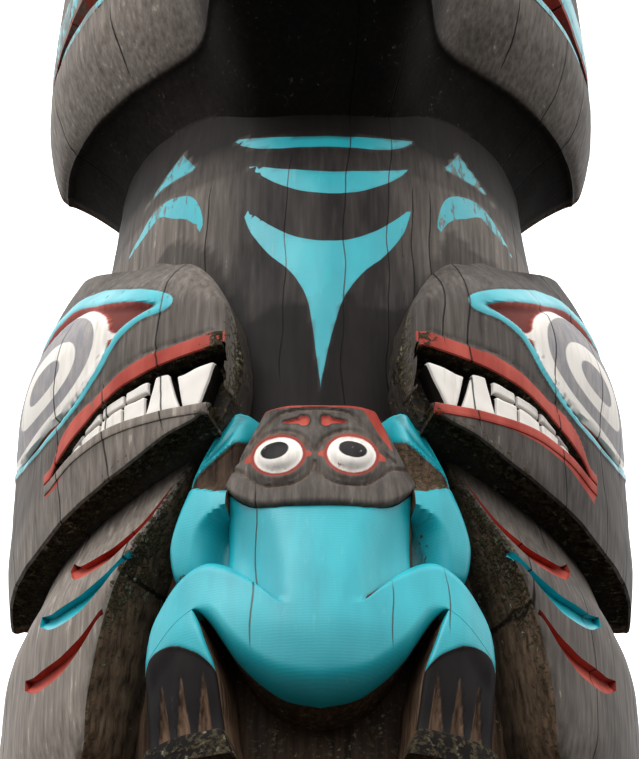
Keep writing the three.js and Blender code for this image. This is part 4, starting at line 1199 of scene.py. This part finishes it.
def makePaintedCedar():
    # Paints over bare wood, each where its layer is above zero, then cracks, grime and painted shade, and
    # moss
    m = Shader("paintedCedar")
    place = m.add("ShaderNodeTexCoord", {}, {}, 3)

    grain = m.noise(m.stretched(place, (1, 1, 0.06)), 120, 3, 0.6)
    coarse = m.noise(m.stretched(place, (1, 1, 0.2)), 20, 3, 0.6)
    flake = m.noise(m.stretched(place, (1, 1, 0.4)), 60, 3, 0.65)
    lump = m.noise(place, 110, 2, 0.65)

    wear, moss = m.layer("wear"), m.layer("moss")
    jitter = (flake - 0.5) * 2.4

    def shade(name, factor):  # between a finish's two colours
        return m.blend(factor, *(colour(*tone) for tone in shades[name]))

    def cover(name, softness=0.9):  # where a colour lies, with a brushed edge that wear eats into
        area = (m.layer(name) + jitter).step(-softness, softness)
        return area * (1.0 - lost)

    lost = (flake * 0.7 + grain * 0.3 + wear * 0.14 - 0.72).step(0.0, 0.04) * 0.8

    # Bare wood, and charcoal paint that the weather has worn through
    wood = shade("wood", grain.step(0.3, 0.7))
    charcoal = shade("charcoal", coarse.step(0.3, 0.75))
    worn = (wear * 0.5 + (coarse * 0.7 + grain * 0.3 - 0.5) * 0.8 - 0.02).step(0.0, 1.0)
    charcoal = m.blend(worn, charcoal, shade("wornCharcoal", grain.step(0.3, 0.7)))
    scratch = (grain * 0.6 + flake * 0.4 + wear * 0.05 - 0.70).step(0.0, 0.03) * wear.least(0.55)
    base = m.blend(scratch, charcoal, colour(*singleTones["scratch"]))
    bare = (m.layer("bare") + jitter).step(-1, 1)
    base = m.blend(bare, base, wood)

    red = shade("red", coarse.step(0.3, 0.75))
    turquoise = shade("turquoise", coarse.step(0.25, 0.8))
    turquoise = m.blend((grain * 0.5 + flake * 0.5).step(0.58, 0.74) * 0.2, turquoise,
                        colour(*singleTones["faded"]))
    white = shade("white", (grain * 0.5 + coarse * 0.5).step(0.52, 0.76) * 0.7)
    grey = shade("grey", (grain * 0.5 + flake * 0.5).step(0.42, 0.72))
    black = shade("black", coarse.step(0.4, 0.8))
    redArea, turquoiseArea, whiteArea = cover("red"), cover("turquoise"), cover("white")
    tone = m.blend(redArea, base, red)
    tone = m.blend(turquoiseArea, tone, turquoise)
    tone = m.blend(whiteArea, tone, white)
    tone = m.blend(cover("grey"), tone, grey)
    tone = m.blend(cover("black"), tone, black)

    # Drying cracks run up the log
    crack = 1.0 - (abs(m.layer("crack") + (flake - 0.5) * 3.0) - m.layer("crackHalf")).step(-0.4, 0.8)
    crack = crack * m.layer("crackHalf").step(0.0, 0.3)
    tone = m.blend(crack * 0.9, tone, colour(*singleTones["crack"]))

    # Moss and lichen crumbs, thick on sheltered edges
    growth = (moss + (lump - 0.5) * 1.5 + (coarse - 0.5) * 0.6 - 0.45).step(0.0, 0.16)
    mossTone = shade("moss", lump.step(0.40, 0.68))
    mossTone = m.blend(flake.step(0.56, 0.72) * lump.step(0.5, 0.6), mossTone, colour(*singleTones["lichen"]))
    # Dark patches under the moss, and grime with painted shade from the darkening layer, blended toward the
    # darkest tone
    patches = (moss * 0.8 + (coarse - 0.5)).step(0.1, 0.9) * 0.5
    grimeAndShade = patches.most((m.layer("stain") + (coarse - 0.5) * 0.4).step(0.05, 1.05) * 0.93)
    tone = m.blend(grimeAndShade, tone, colour(*singleTones["grimeAndShade"]))
    tone = m.blend(growth, tone, mossTone)

    # Low relief in millimetres: grain, rows of gouge marks, cracks and moss crumbs
    rows = m.add("ShaderNodeTexWave", {"wave_type": "BANDS", "bands_direction": "Z"},
                 {"Vector": place, "Scale": 62.0, "Distortion": 3.0, "Detail": 1.0, "Detail Scale": 1.4})
    relief = ((grain - 0.5) * 0.5 * (wear * 0.8 + 0.25) + rows * 0.09 * m.layer("turquoise").step(0, 2)
              + (moss + lump - 0.95).step(0.0, 0.5) * 3.0 - crack * 2.0)
    bump = m.add("ShaderNodeBump", {}, {"Strength": 1.0, "Distance": 0.001, "Height": relief})
    rough = m.blendNumber(turquoiseArea, 0.62, 0.42)
    rough = m.blendNumber(growth.most(bare * 0.6), rough, 0.92)
    m.join(tone, m.surface.inputs["Base Color"])
    m.join(rough, m.surface.inputs["Roughness"])
    m.join(bump, m.surface.inputs["Normal"])
    m.join((turquoiseArea * 0.7).most(0.04), m.surface.inputs["Coat Weight"])
    m.surface.inputs["Coat Roughness"].default_value = 0.4
    m.surface.inputs["Specular IOR Level"].default_value = 0.07
    return m.material


pole.data.materials.clear()
pole.data.materials.append(makePaintedCedar())
pole.data.shade_smooth()
pole.data.set_sharp_from_angle(angle=math.radians(35))
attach(pole, "root")
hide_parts("totem_pole")
print("finished", pole.name)


# The floor, seen only from above, because the photograph looks up from below the pole's foot

studio = {"floorRadius": 1.3, "floorSides": 96, "floorTone": colour(96, 96, 94), "skyStrength": 2.0,
          "lowSky": 0.02, "haze": 0.3}
softbox = {"place": (-1.6, -3.2, 4.6), "target": (0, -0.2, 1.4), "size": 2.4, "watts": 90}
photo = {"height": 759, "focalLength": 2860, "sensor": 36, "tilt": 130}  # pixels, pixels, mm, degrees


def makeFloor():  # a round floor that is see-through from below
    sides, reach = studio["floorSides"], studio["floorRadius"]
    angle = np.linspace(0, 2 * math.pi, sides + 1)[:-1]
    rim = np.stack([reach * np.cos(angle), reach * np.sin(angle), np.zeros(sides)], 1)
    mesh = bpy.data.meshes.new("floor")
    mesh.from_pydata(rim.tolist(), [], [list(range(sides))])
    floor = bpy.data.objects.new("floor", mesh)
    bpy.context.scene.collection.objects.link(floor)
    m = Shader("paleFloor")
    m.surface.inputs["Base Color"].default_value = studio["floorTone"]
    m.surface.inputs["Roughness"].default_value = 0.9
    behind = m.add("ShaderNodeNewGeometry", {}, {}, 6)
    clear = m.add("ShaderNodeBsdfTransparent")
    shown = m.add("ShaderNodeMixShader", {}, {0: behind, 1: Signal(m, m.surface.outputs[0]), 2: clear})
    m.join(shown, m.tree.nodes["Material Output"].inputs["Surface"])
    mesh.materials.append(m.material)


def makeSky():  # an overcast sky: white above the horizon, dim below it, and white wherever the camera looks
    world = bpy.data.worlds.new("overcast")
    world.use_nodes = True
    tree = world.node_tree
    place = tree.nodes.new("ShaderNodeTexCoord")
    parts = tree.nodes.new("ShaderNodeSeparateXYZ")
    span = tree.nodes.new("ShaderNodeMapRange")
    tree.links.new(place.outputs["Generated"], parts.inputs[0])
    tree.links.new(parts.outputs[2], span.inputs["Value"])
    span.inputs["From Min"].default_value, span.inputs["From Max"].default_value = 0.0, studio["haze"]
    span.inputs["To Min"].default_value = studio["lowSky"]
    span.inputs["To Max"].default_value = studio["skyStrength"]
    sky = tree.nodes["Background"]
    sky.inputs[0].default_value = (1, 1, 1, 1)
    looked = tree.nodes.new("ShaderNodeLightPath")
    most = tree.nodes.new("ShaderNodeMath")
    most.operation = "MAXIMUM"
    tree.links.new(looked.outputs["Is Camera Ray"], most.inputs[0])
    tree.links.new(span.outputs[0], most.inputs[1])
    tree.links.new(most.outputs[0], sky.inputs[1])
    bpy.context.scene.world = world


def makeLamp(name, place, target, size, watts):  # a square lamp turned toward its target
    light = bpy.data.lights.new(name, "AREA")
    light.size, light.energy = size, watts
    lamp = bpy.data.objects.new(name, light)
    lamp.location = place
    lamp.rotation_euler = (Vector(target) - Vector(place)).to_track_quat("-Z", "Y").to_euler()
    bpy.context.scene.collection.objects.link(lamp)


def makeCamera():  # the photograph's own view, fitted to its outlines
    lens = bpy.data.cameras.new("photoCamera")
    camera = bpy.data.objects.new("photoCamera", lens)
    bpy.context.scene.collection.objects.link(camera)
    camera.location = [length / 1000 for length in eyePoint]
    camera.rotation_euler = (math.radians(photo["tilt"]), 0, 0)
    lens.sensor_width = photo["sensor"]
    lens.lens = photo["focalLength"] / photo["height"] * photo["sensor"]
    lens.shift_x = -1 / photo["height"]
    bpy.context.scene.camera = camera


makeFloor()
makeSky()
makeLamp("softbox", **softbox)
makeCamera()
bpy.context.scene.view_settings.view_transform = "Standard"
print("lit")
